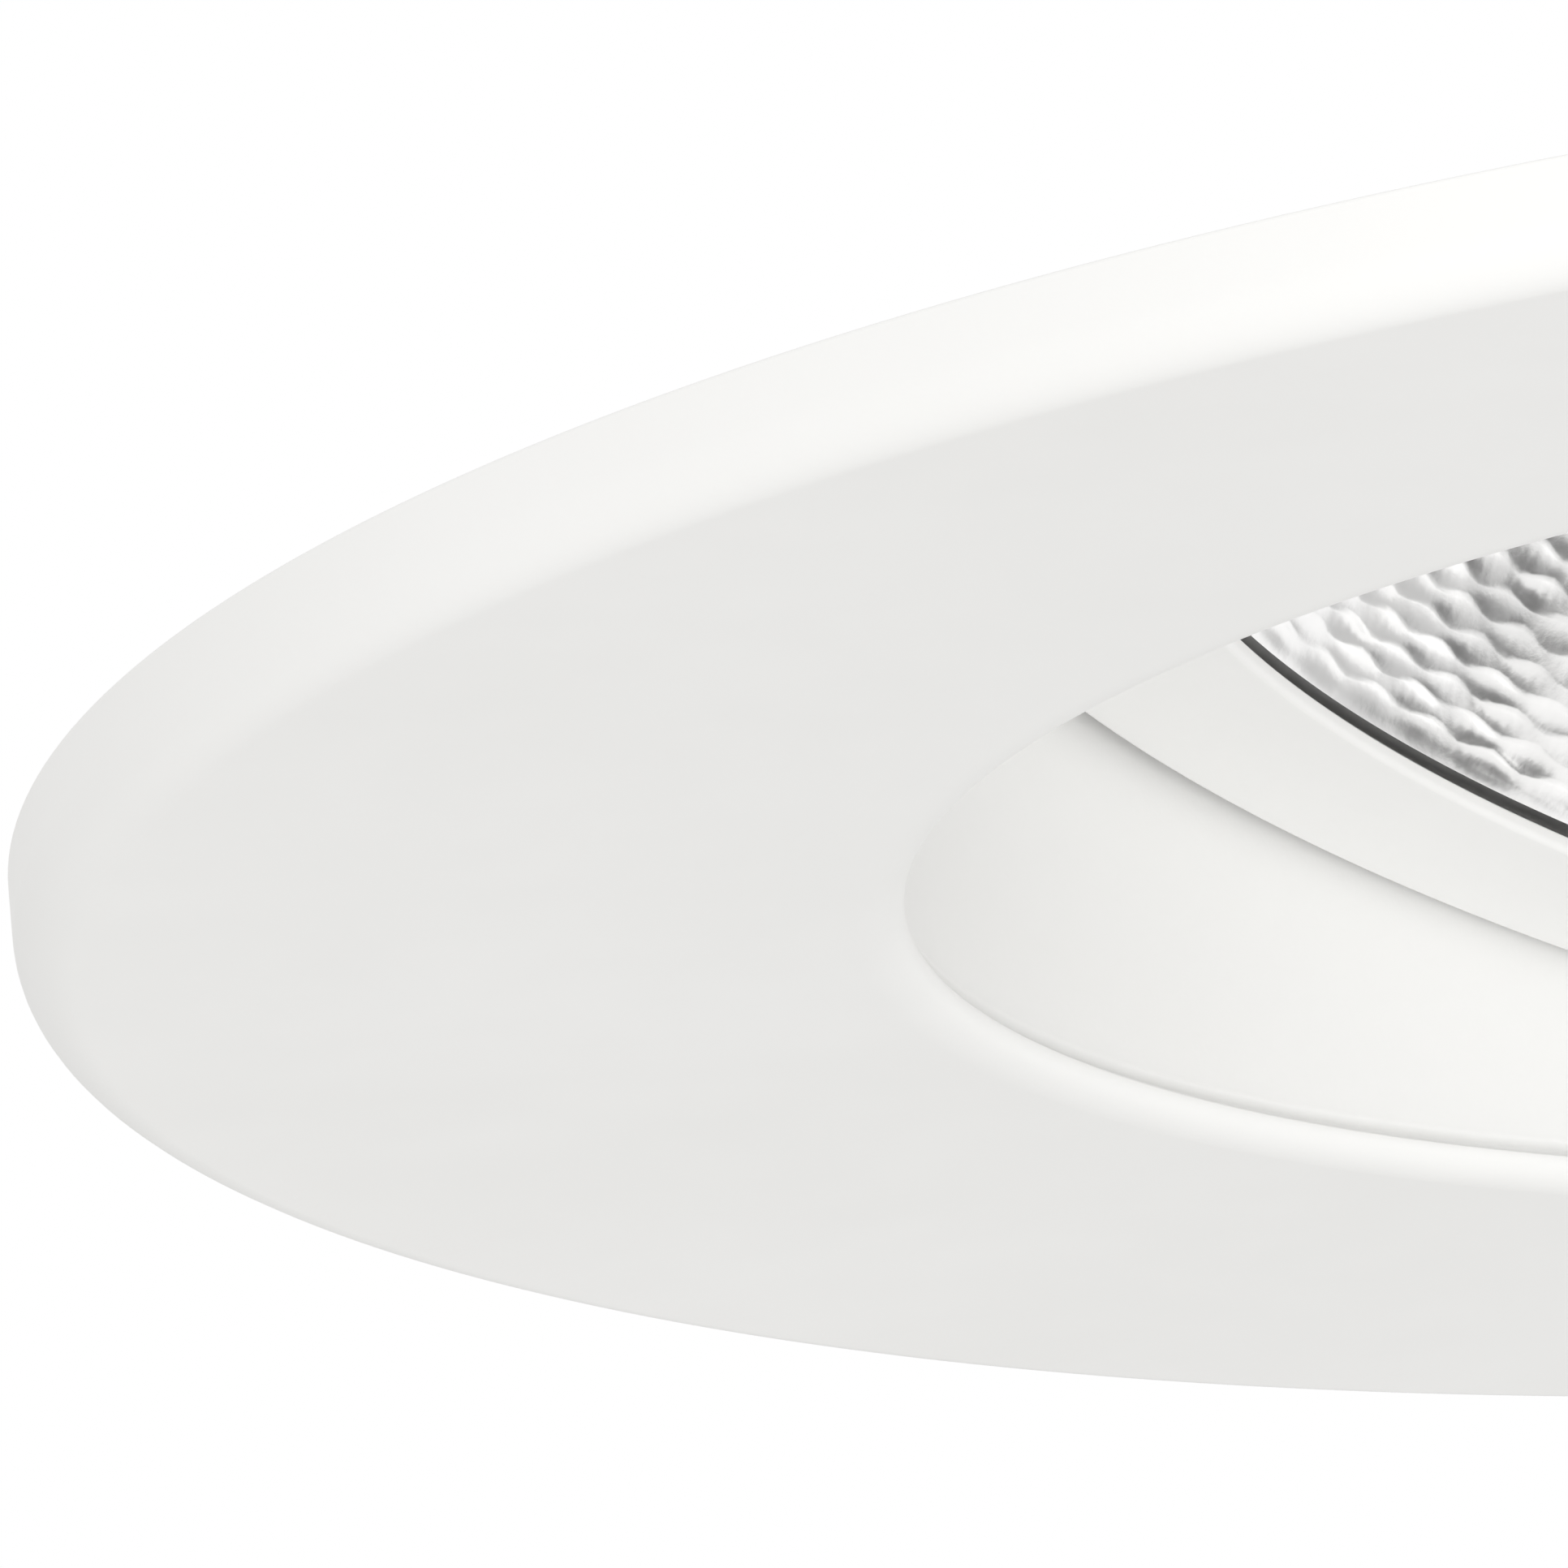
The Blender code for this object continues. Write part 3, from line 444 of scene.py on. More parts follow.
def settle(obj):
    """Applies the object's modifiers."""
    graph = bpy.context.evaluated_depsgraph_get()
    mesh = bpy.data.meshes.new_from_object(obj.evaluated_get(graph))
    obj.modifiers.clear()
    obj.data = mesh
    return obj


def cut(obj, cutters, operation="DIFFERENCE"):
    """Cuts or joins meshes, then throws the cutters away."""
    outward(obj.data)
    for cutter in cutters:
        outward(cutter.data)
        boolean = obj.modifiers.new("cut", "BOOLEAN")
        boolean.operation = operation
        boolean.object = cutter
        boolean.solver = "EXACT"
    settle(obj)
    for cutter in cutters:
        bpy.data.objects.remove(cutter)
    return obj


def join(obj, others):
    return cut(obj, others, "UNION")


def soften(obj, width, angle=35, segments=2):
    """Rounds the edges between faces that meet at more than the angle."""
    bevel = obj.modifiers.new("soft_edges", "BEVEL")
    bevel.width = width
    bevel.segments = segments
    bevel.limit_method = "ANGLE"
    bevel.angle_limit = math.radians(angle)
    bevel.use_clamp_overlap = True
    return settle(obj)


def dress(obj, material, node):
    """Shades the piece, gives it its material, and puts it in a CAD node's place."""
    outward(obj.data)
    obj.data.materials.clear()
    obj.data.materials.append(material)
    obj.data.shade_smooth()
    obj.data.set_sharp_from_angle(angle=SHARP_ANGLE)
    weigh = obj.modifiers.new("flat_faces", "WEIGHTED_NORMAL")
    weigh.keep_sharp = True
    settle(obj)
    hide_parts(node)


def finish_piece(obj, material, node):
    """Dresses the piece and puts it on the node's body."""
    dress(obj, material, node)
    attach(obj, BODIES[node])


def cad_copy(node, name):
    """A new mesh with a CAD node's shape, its flat faces made whole again."""
    mesh = frame["nodes"][node].data.copy()
    mesh.name = name
    work = bmesh.new()
    work.from_mesh(mesh)
    bmesh.ops.remove_doubles(work, verts=work.verts, dist=1e-6)
    bmesh.ops.dissolve_limit(work, angle_limit=math.radians(1), verts=work.verts, edges=work.edges)
    work.to_mesh(mesh)
    work.free()
    return new_object(name, mesh)


# ---- fixed pieces

FLANGE_R = 90.0 * MM
FACE_Z = -4.2 * MM
OPENING_R = 58.2 * MM
LIP_WIDTH = 1.8 * MM
LIP_HEIGHT = 0.9 * MM
LIP_STEPS = 10
LEDGE_Z = -3.2 * MM
GROOVE_R = 84.0 * MM
GROOVE_Z = -1.6 * MM
GASKET_R = (75.2 * MM, 83.7 * MM)
COLLAR_R = (67.2 * MM, 69.2 * MM)
COLLAR_TOP = 0.6 * MM
GLIDE_R = (60.9 * MM, 64.4 * MM)
SCREW_CIRCLE_R = 71.5 * MM
MOUNT_ANGLES = (90, 210, 330)
CLIP_ANGLES = (30, 150, 270)
CLIP_SCREW_R = 70.5 * MM
MOUNT_R = (61.7 * MM, 75.0 * MM)
MOUNT_Z = (0.85 * MM, 1.85 * MM)
SEAT_GAP = 0.25 * MM
BRACKET_T = 1.2 * MM
BRACKET_SEAT = MOUNT_Z[1] + SEAT_GAP + BRACKET_T + SEAT_GAP


def opening_lip():
    """The opening's edge: a quarter of an ellipse, wider than it is high."""
    turns = [math.pi / 2 * (i + 0.5) / LIP_STEPS for i in range(-1, LIP_STEPS + 1)]
    turns[0], turns[-1] = 0, math.pi / 2
    return [(OPENING_R + LIP_WIDTH * (1 - math.sin(a)), FACE_Z + LIP_HEIGHT * (1 - math.cos(a)))
            for a in turns]


def make_trim(material):
    points = [
        (FLANGE_R, 0, 0.15 * MM),
        (FLANGE_R, FACE_Z, 3.0 * MM),
        *opening_lip(),
        (OPENING_R, LEDGE_Z, 0.15 * MM),
        (COLLAR_R[0], LEDGE_Z, 0.2 * MM),
        (COLLAR_R[0], COLLAR_TOP, 0.2 * MM),
        (COLLAR_R[1], COLLAR_TOP, 0.2 * MM),
        (COLLAR_R[1], GROOVE_Z, 0.2 * MM),
        (GROOVE_R, GROOVE_Z, 0.2 * MM),
        (GROOVE_R, 0, 0.15 * MM),
    ]
    trim = lathe("flange_trim", points, sides=360, steps=10)
    join(trim, rods(2.9 * MM, GROOVE_Z - 0.6 * MM, 0.45 * MM, SCREW_CIRCLE_R, MOUNT_ANGLES))
    cut(trim, rods(1.4 * MM, -1.3 * MM, 2 * MM, SCREW_CIRCLE_R, MOUNT_ANGLES))
    finish_piece(trim, material, "trim_ring")


def make_gasket(material):
    """Die-cut foam, its top and edges a little uneven."""
    low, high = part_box("ceiling_gasket")
    points = rectangle(GASKET_R, (low.z, high.z), 0.2 * MM, 0.5 * MM)
    gasket = lathe("foam_gasket", points, sides=320, steps=3)
    for vert in gasket.data.vertices:
        if vert.co.z > 0:
            angle = math.atan2(vert.co.y, vert.co.x)
            vert.co.z -= 0.05 * MM * (1 + math.sin(23 * angle) * math.sin(7 * angle + 1))
    finish_piece(gasket, material, "ceiling_gasket")


def make_glide_ring(material):
    low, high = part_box("glide_ring")
    glide = lathe("nylon_glide", rectangle(GLIDE_R, (low.z, high.z), 0.12 * MM), steps=3)
    finish_piece(glide, material, "glide_ring")


def make_mounting_ring(material):
    plate = lathe("mounting_plate", rectangle(MOUNT_R, MOUNT_Z, 0.15 * MM), steps=3)
    holes = rods(1.45 * MM, -2 * MM, 4 * MM, SCREW_CIRCLE_R, MOUNT_ANGLES)
    holes += rods(1.45 * MM, -2 * MM, 4 * MM, CLIP_SCREW_R, CLIP_ANGLES)
    cut(plate, holes)
    finish_piece(plate, material, "mounting_ring")


def screw_mesh(name, tip, seat, shank_r, head_r, head_height):
    """A pan-head screw with a cross recess, and a rolled thread on its shank."""
    top = seat + head_height
    thread = 0.12 * MM
    pitch = 0.45 * MM
    points = [
        (0, top),
        (head_r * 0.55, top, 0.6 * MM),
        (head_r, seat + head_height * 0.45, 0.8 * MM),
        (head_r, seat, 0.1 * MM),
        (shank_r, seat),
    ]
    turns = int((seat - tip - 0.3 * MM) / pitch)
    for i in range(turns):
        z = seat - 0.1 * MM - i * pitch
        points += [(shank_r, z - 0.25 * pitch), (shank_r - thread, z - 0.7 * pitch)]
    points += [(shank_r - thread, tip + 0.25 * MM), (shank_r * 0.6, tip), (0, tip)]
    screw = lathe(name, points, sides=SCREW_SIDES, closed=False, steps=3)
    arm, width = head_r * 0.62, head_r * 0.2
    deep = top - head_height * 0.62
    bars = [((-arm, -width / 2, deep), (arm, width / 2, top + MM)),
            ((-width / 2, -arm, deep), (width / 2, arm, top + MM))]
    cross = block("bar", *bars[0])
    join(cross, [block("bar", *bars[1])])
    cut(screw, [cross])
    mesh = screw.data
    bpy.data.objects.remove(screw)
    return mesh


def place_screw(name, node, mesh, material, matrix):
    finish_piece(new_object(name, mesh.copy(), matrix), material, node)


def make_trim_screws(material):
    seat = MOUNT_Z[1] + SEAT_GAP
    mesh = screw_mesh("ring_screw", -1.0 * MM, seat, 1.15 * MM, 2.5 * MM, 1.9 * MM)
    for number, angle in enumerate(MOUNT_ANGLES, 1):
        place = spot(SCREW_CIRCLE_R, angle, 37 * number)
        place_screw(f"ring_screw_{number}", f"mounting_screw_{number}", mesh, material, place)


def make_stop_pin(material):
    low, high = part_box("swivel_stop_pin")
    middle = (low + high) / 2
    radius = (high.x - low.x) / 2
    points = disc(radius, low.z, high.z, 0.2 * MM, 0.25 * MM)
    place = Matrix.Translation((middle.x, middle.y, 0))
    pin = lathe("turn_stop_pin", points, place, sides=SCREW_SIDES, closed=False)
    finish_piece(pin, material, "swivel_stop_pin")


# ---- spring clips

PIN_R = 1.0 * MM
PIN_HEAD_R = 1.9 * MM
PIN_HALF = 7.25 * MM       # half its length between the heads
SPRING_R = 2.9 * MM
WIRE_R = 0.45 * MM
SPRING_TURNS = 3
SPRING_PITCH = 1.4 * MM


def clip_place(number):
    """The clip's own frame: its pin lies along Y, and its arm points along X."""
    pin = Vector(JOINTS[f"clip_fold_{number}"]["pos_m"])
    return Matrix.Translation(pin) @ Matrix.Rotation(math.atan2(pin.y, pin.x), 4, "Z")


def make_clip_sheets(number, zinc, rubber):
    sheets = (
        ("bracket_sheet", "clip_bracket", zinc, 0.22 * MM, 2),
        ("arm_sheet", "clip_arm", zinc, 0.15 * MM, 2),
        ("grip_foot", "clip_foot", rubber, 0.35 * MM, 3),
    )
    for name, node, material, edge, segments in sheets:
        node = f"{node}_{number}"
        piece = soften(cad_copy(node, f"{name}_{number}"), edge, segments=segments)
        finish_piece(piece, material, node)


def make_clip_pin(number, base, material):
    end = PIN_HALF + 1.0 * MM
    points = [
        (0, end),
        (PIN_HEAD_R, end, 0.5 * MM),
        (PIN_HEAD_R, PIN_HALF, 0.1 * MM),
        (PIN_R, PIN_HALF),
        (PIN_R, -PIN_HALF),
        (PIN_HEAD_R, -PIN_HALF, 0.1 * MM),
        (PIN_HEAD_R, -end, 0.5 * MM),
        (0, -end),
    ]
    place = base @ Matrix.Rotation(math.pi / 2, 4, "X")
    pin = lathe(f"hinge_rivet_{number}", points, place, sides=SCREW_SIDES, closed=False)
    finish_piece(pin, material, f"clip_pin_{number}")


def tube(name, path, radius, sides=12):
    """A round wire along a path, with domed ends. The section is carried along without twisting."""
    tangents = []
    for i, point in enumerate(path):
        before = path[max(i - 1, 0)]
        after = path[min(i + 1, len(path) - 1)]
        tangents.append((after - before).normalized())
    side = tangents[0].orthogonal().normalized()
    stations = []
    for point, tangent in zip(path, tangents):
        side = (side - tangent * side.dot(tangent)).normalized()
        stations.append((point, side, tangent.cross(side), radius))
    first, last = stations[0], stations[-1]
    dome = [(radius * math.sin(a), radius * math.cos(a)) for a in (math.pi / 3, math.pi / 6)]
    front = [(first[0] - tangents[0] * s, first[1], first[2], r) for s, r in dome]
    back = [(last[0] + tangents[-1] * s, last[1], last[2], r) for s, r in reversed(dome)]
    stations = front + stations + back
    verts, faces = [], []
    for centre, a, b, r in stations:
        for k in range(sides):
            angle = 2 * math.pi * k / sides
            verts.append(centre + a * (r * math.cos(angle)) + b * (r * math.sin(angle)))
    for i in range(len(stations) - 1):
        for k in range(sides):
            n = (k + 1) % sides
            faces.append((i * sides + k, i * sides + n, (i + 1) * sides + n, (i + 1) * sides + k))
    faces.append(tuple(reversed(range(sides))))
    faces.append(tuple(range(len(verts) - sides, len(verts))))
    mesh = bpy.data.meshes.new(name)
    mesh.from_pydata([tuple(v) for v in verts], [], faces)
    return new_object(name, mesh)


def smooth_path(points):
    """Cuts the corners of a path, keeping its ends."""
    finer = [points[0]]
    for a, b in zip(points, points[1:]):
        finer += [a.lerp(b, 0.25), a.lerp(b, 0.75)]
    return finer + [points[-1]]


def make_spring(number, base, material):
    """A torsion spring round the pin: one leg on the bracket, the coil, one leg along the arm."""
    seat = BRACKET_SEAT + WIRE_R - JOINTS[f"clip_fold_{number}"]["pos_m"][2]
    start_y = -SPRING_TURNS * SPRING_PITCH / 2
    sweep = math.pi / 2 + CLIP_DROOP + 2 * math.pi * SPRING_TURNS
    steps = 28 * SPRING_TURNS
    coil = []
    for i in range(steps + 1):
        angle = math.pi - sweep * i / steps
        y = start_y + SPRING_TURNS * SPRING_PITCH * i / steps
        coil.append(Vector((SPRING_R * math.cos(angle), y, SPRING_R * math.sin(angle))))
    fixed = [Vector((-SPRING_R, start_y, z)) for z in (seat, seat * 0.75, seat * 0.5, seat * 0.25)]
    droop = Matrix.Rotation(CLIP_DROOP, 3, "Y")
    leg = ((2, 2.8), (4, 2.65), (9, 1.9), (14, 1.25))
    moving = [droop @ Vector((x * MM, -start_y, z * MM)) for x, z in leg]
    path = smooth_path(fixed + coil + moving)
    spring = tube(f"torsion_spring_{number}", path, WIRE_R)
    spring.data.transform(base)
    dress(spring, material, f"clip_spring_{number}")
    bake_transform(spring)


def make_clips(zinc, rubber, steel, wire):
    mesh = screw_mesh("bracket_screw", -0.2 * MM, BRACKET_SEAT, 1.15 * MM, 2.3 * MM, 1.6 * MM)
    for number, angle in enumerate(CLIP_ANGLES, 1):
        base = clip_place(number)
        make_clip_sheets(number, zinc, rubber)
        make_clip_pin(number, base, steel)
        make_spring(number, base, wire)
        place = spot(CLIP_SCREW_R, angle, 50 * number + 20)
        place_screw(f"bracket_screw_{number}", f"clip_screw_{number}", mesh, steel, place)


# ---- swivel ring

WALL_R = (58.5 * MM, 60.3 * MM)
WALL_TOP = 24.0 * MM
FOOT_Z = LEDGE_Z + 0.3 * MM
TONGUE_R = (58.75 * MM, 59.4 * MM)    # a narrow ring under the wall, which closes the gap to the ledge
BEAD_R = 64.6 * MM                    # a flange that lies on the glide ring
BEAD_Z = (-0.9 * MM, 0.6 * MM)
WASHER_R = (1.75 * MM, 2.6 * MM)
WASHER_T = 0.7 * MM
PIVOT_BOSS_END = 62.0 * MM


def make_swivel_ring(material, washer_material):
    points = [
        (WALL_R[1], WALL_TOP, 0.5 * MM),
        (WALL_R[1], BEAD_Z[1], 0.4 * MM),
        (BEAD_R, BEAD_Z[1], 0.3 * MM),
        (BEAD_R, BEAD_Z[0], 0.3 * MM),
        (WALL_R[1], BEAD_Z[0], 0.15 * MM),
        (WALL_R[1], FOOT_Z, 0.2 * MM),
        (TONGUE_R[1], FOOT_Z, 0.05 * MM),
        (TONGUE_R[1], LEDGE_Z + 0.06 * MM, 0.05 * MM),
        (TONGUE_R[0], LEDGE_Z + 0.06 * MM, 0.05 * MM),
        (TONGUE_R[0], FOOT_Z, 0.05 * MM),
        (WALL_R[0], FOOT_Z + 0.3 * MM, 0.3 * MM),
        (WALL_R[0], WALL_TOP, 0.5 * MM),
    ]
    wall = lathe("swivel_wall", points, SWIVEL, sides=360)
    tab = block("tab", (63.4 * MM, -1.2 * MM, -0.75 * MM), (66.7 * MM, 1.2 * MM, 0.45 * MM), SWIVEL)
    pivot = SWIVEL @ Matrix.Translation((0, 0, PIVOT.z))
    sides = ((WALL_R[0] + 0.7 * MM, PIVOT_BOSS_END), (-PIVOT_BOSS_END, -WALL_R[0] - 0.7 * MM))
    bosses = [rod("boss", WASHER_R[1], a, b, matrix=pivot, along="Y", sides=48) for a, b in sides]
    join(wall, [tab] + bosses)
    cut(wall, [rod("hole", WASHER_R[0], -70 * MM, 70 * MM, matrix=pivot, along="Y")])
    finish_piece(wall, material, "swivel_ring")
    low = PIVOT_BOSS_END + SEAT_GAP
    ring = rectangle(WASHER_R, (low, low + WASHER_T), 0.15 * MM)
    for number, turn in PIVOT_SIDES.items():
        place = pivot @ Matrix.Rotation(turn, 4, "X")
        washer = lathe(f"friction_washer_{number}", ring, place, sides=SCREW_SIDES, steps=2)
        finish_piece(washer, washer_material, f"pivot_washer_{number}")


# ---- lamp unit

RING_R = 57.8 * MM
RING_INNER_R = 56.0 * MM
RING_TOP = 5.0 * MM
RING_FACE = -5.0 * MM
RING_BACK = -3.3 * MM
APERTURE_R = 48.5 * MM
LIP_BACK = -4.4 * MM
RIM_R = 51.5 * MM
HOUSING_SCREW_R = 53.8 * MM
SHELL_ANGLES = (0, 120, 240)
CONE_R = (51.4 * MM, 37.0 * MM)
CONE_Z = (8.0 * MM, 43.0 * MM)
CONE_T = 1.5 * MM
SHELL_FOOT_R = 55.7 * MM
SHELL_FOOT_Z = (-0.25 * MM, 1.25 * MM)
SHELL_TOP = 45.5 * MM
SHELL_HOLE_R = 22.0 * MM
CABLE_HOLE_R = 3.4 * MM
GROMMET_Z = 27.0 * MM
SINK_SCREW_R = 30 * MM
SINK_ANGLES = (10, 130, 250)
SINK_LOW = 45.8 * MM
SINK_BASE_TOP = 50.8 * MM
SINK_TOP = 86.0 * MM
SINK_BASE_R = 38.0 * MM
LED_SCREW_X = (16.5 * MM, -16.5 * MM)


def make_gimbal_ring(material):
    points = [
        (RING_R, RING_TOP, 0.3 * MM),
        (RING_R, RING_FACE, 0.45 * MM),
        (APERTURE_R, RING_FACE, 0.45 * MM),
        (APERTURE_R, LIP_BACK, 0.1 * MM),
        (RIM_R + SEAT_GAP, LIP_BACK),
        (RIM_R + SEAT_GAP, RING_BACK, 0.1 * MM),
        (RING_INNER_R, RING_BACK, 0.4 * MM),
        (RING_INNER_R, RING_TOP, 0.3 * MM),
    ]
    ring = lathe("gimbal_face_ring", points, LAMP, sides=360, steps=6)
    bosses = rods(2.0 * MM, RING_BACK - 0.7 * MM, -0.5 * MM, HOUSING_SCREW_R, SHELL_ANGLES, LAMP)
    lugs = []
    for side in (-1, 1):
        ends = sorted((side * 52.0 * MM, side * 56.6 * MM))
        low, high = (-4.5 * MM, ends[0], RING_BACK - 0.5 * MM), (4.5 * MM, ends[1], 4.5 * MM)
        lugs.append(soften(block("lug", low, high, LAMP), 0.6 * MM))
    join(ring, bosses + lugs)
    holes = rods(1.3 * MM, RING_BACK - 0.3 * MM, 2 * MM, HOUSING_SCREW_R, SHELL_ANGLES, LAMP)
    for low, high in ((50 * MM, 60 * MM), (-60 * MM, -50 * MM)):
        holes.append(rod("hole", 1.7 * MM, low, high, matrix=LAMP, along="Y"))
    cut(ring, holes)
    finish_piece(ring, material, "gimbal_ring")


def make_pivot_screws(material):
    seat = PIVOT_BOSS_END + SEAT_GAP + WASHER_T + SEAT_GAP
    mesh = screw_mesh("tilt_screw", 53.0 * MM, seat, 1.45 * MM, 2.3 * MM, 2.0 * MM)
    for number, turn in PIVOT_SIDES.items():
        place = LAMP @ Matrix.Rotation(turn, 4, "X")
        place_screw(f"tilt_screw_{number}", f"pivot_screw_{number}", mesh, material, place)


# The reflector is a paraboloid with hammered facets: rows of low pillows, each row half a facet round from
# the last. The edge between two rows dips under the middle of each pillow above it.
BOWL_APEX = 40.6 * MM
BOWL_4F = 53.1 * MM
BOWL_MOUTH = -3.9 * MM
BOWL_THROAT_R = 11.0 * MM
BOWL_THROAT = BOWL_APEX - BOWL_THROAT_R**2 / BOWL_4F
NECK_TOP = 39.6 * MM
SHELL_T = 0.8 * MM
BACK_RINGS = 12
FACETS_ROUND = 84
FACET_ROWS = (0.78 * MM, 1.1 * MM)    # the first row's height and the tallest
ROW_GROWTH = 1.045
FACET_DIP = 0.17                      # as a share of the row above
EDGE_WANDER = 0.06                    # up and down, as a share of the row
SIDE_WANDER = 0.14                    # sideways, in radians for a ring of one facet
FACET_RISE = 0.042 * MM
RISE_SPREAD = (0.6, 1.4)
FULL_WIDTH = 3.4 * MM                 # narrower facets rise less
FACET_LEAN = (1.8, 0.7)               # across and along, as shares of the rise
FACET_COLUMNS = 6
FACET_STEPS = (0.15, 0.85, 1.0)
NARROWEST = 2.0 * MM


def bowl_slope(height):
    """How much the wall's radius shrinks for each unit of height."""
    return BOWL_4F / (2 * bowl_radius(height))


def bowl_radius(height):
    return np.sqrt(BOWL_4F * (BOWL_APEX - height))


def bowl_points(angles, heights, lifts):
    """Points of the inner wall, lifted off it towards the axis."""
    slopes = bowl_slope(heights)
    inward = lifts / np.hypot(1, slopes)
    radii = bowl_radius(heights) - inward
    return np.stack((radii * np.cos(angles), radii * np.sin(angles), heights - inward * slopes), axis=-1)


def facet_rows():
    """Heights of the edges between rows, from the mouth up, and how many facets each row has."""
    edges, counts = [BOWL_MOUTH + 0.35 * MM], [FACETS_ROUND]
    row, tallest = FACET_ROWS
    while True:
        height = edges[-1] + row / np.hypot(1, bowl_slope(edges[-1]))
        row = min(row * ROW_GROWTH, tallest)
        if height > BOWL_THROAT - 0.5 * MM:
            return edges + [BOWL_THROAT], counts
        edges.append(height)
        narrow = 2 * math.pi * bowl_radius(height) / counts[-1] < NARROWEST
        counts.append(counts[-1] // 2 if narrow else counts[-1])


def uneven(count, knots, reach):
    """Random offsets at evenly set knots, with straight runs between them."""
    values = RNG.uniform(-reach, reach, knots)
    return np.interp(np.arange(count) / count, np.arange(knots) / knots, values, period=1)


def facet_share(row, facets, count):
    """Which facet each of a ring's points is in, and how far across it from 0 to 1."""
    turns = np.arange(count) * facets / count + (row % 2) / 2
    return turns.astype(int) % facets, turns % 1


def facet_edge(row, edges, facets, count):
    """Angles and heights of the edge under a row of facets."""
    angles = np.arange(count) * 2 * math.pi / count
    heights = np.full(count, edges[row])
    if 0 < row < len(edges) - 1:
        rise = edges[row + 1] - edges[row]
        dip = np.cos(2 * math.pi * facet_share(row, facets, count)[1]) * FACET_DIP
        heights = heights + (dip + uneven(count, 2 * facets, EDGE_WANDER)) * rise
        angles = angles + uneven(count, 2 * facets, SIDE_WANDER / facets)
    return angles, heights


def make_facets(mesh):
    """The bowl's inner wall. Returns its first and last rings."""
    edges, counts = facet_rows()
    count = FACETS_ROUND * FACET_COLUMNS
    low = facet_edge(0, edges, counts[0], count)
    first = last = mesh.ring(bowl_points(*low, 0.0))
    for row, facets in enumerate(counts):
        if facets * FACET_COLUMNS < len(last):
            low = [values[::2] for values in low]
        count = facets * FACET_COLUMNS
        above = counts[min(row + 1, len(counts) - 1)]
        high = facet_edge(row + 1, edges, above, count)
        number, share = facet_share(row, facets, count)
        across = share * 2 - 1
        scale = min(1.0, 2 * math.pi * bowl_radius(edges[row]) / facets / FULL_WIDTH)
        rises = FACET_RISE * scale * RNG.uniform(*RISE_SPREAD, facets)[number]
        leans = [RNG.uniform(-reach, reach, facets)[number] for reach in FACET_LEAN]
        for up in FACET_STEPS:
            angles, heights = (a + (b - a) * up for a, b in zip(low, high))
            along = up * 2 - 1
            lean = 1 + leans[0] * across + leans[1] * along
            ring = mesh.ring(bowl_points(angles, heights, rises * (1 - across**2) * (1 - along**4) * lean))
            mesh.strip(last, ring)
            last = ring
        low = high
    return first, last


class RingMesh:
    """A mesh made of rings of points round the axis."""

    def __init__(self):
        self.verts, self.faces = [], []

    def ring(self, points):
        start = len(self.verts)
        self.verts.extend(tuple(point) for point in points)
        return list(range(start, start + len(points)))

    def circle(self, radius, height, count):
        angles = np.arange(count) * 2 * math.pi / count
        points = (radius * np.cos(angles), radius * np.sin(angles), np.full(count, height))
        return self.ring(np.stack(points, axis=-1))

    def strip(self, low, high):
        """Faces between two rings. The first may have a few times as many points as the second."""
        each = len(low) // len(high)
        for k, point in enumerate(high):
            after = high[(k + 1) % len(high)]
            self.faces.append((*(low[(k * each + j) % len(low)] for j in range(each + 1)), after, point))


def make_reflector(material):
    mesh = RingMesh()
    mouth, throat = make_facets(mesh)
    count = len(mouth)
    rim_top = BOWL_MOUTH + SHELL_T
    soft = 0.12 * MM
    outline = [
        (bowl_radius(BOWL_MOUTH), BOWL_MOUTH),
        (RIM_R - soft, BOWL_MOUTH),
        (RIM_R, BOWL_MOUTH + soft),
        (RIM_R, rim_top - soft),
        (RIM_R - soft, rim_top),
        (bowl_radius(rim_top) + SHELL_T + soft, rim_top),
    ]
    back_start = rim_top + soft
    for i in range(BACK_RINGS + 1):
        height = back_start + (BOWL_THROAT - back_start) * (i / BACK_RINGS)**0.8
        outline.append((bowl_radius(height) + SHELL_T, height))
    outline.append((BOWL_THROAT_R + SHELL_T, NECK_TOP))
    last = mouth
    for radius, height in outline:
        ring = mesh.circle(radius, height, count)
        mesh.strip(ring, last)
        last = ring
    neck = mesh.circle(BOWL_THROAT_R, NECK_TOP, len(throat))
    mesh.strip(last, neck)
    mesh.strip(neck, throat)
    data = bpy.data.meshes.new("hammered_reflector")
    data.from_pydata(mesh.verts, [], mesh.faces)
    bowl = new_object("hammered_reflector", data, LAMP)
    outward(data)
    data.materials.append(material)
    data.shade_smooth()
    data.set_sharp_from_angle(angle=math.radians(50))
    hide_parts("reflector")
    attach(bowl, "lamp_unit")


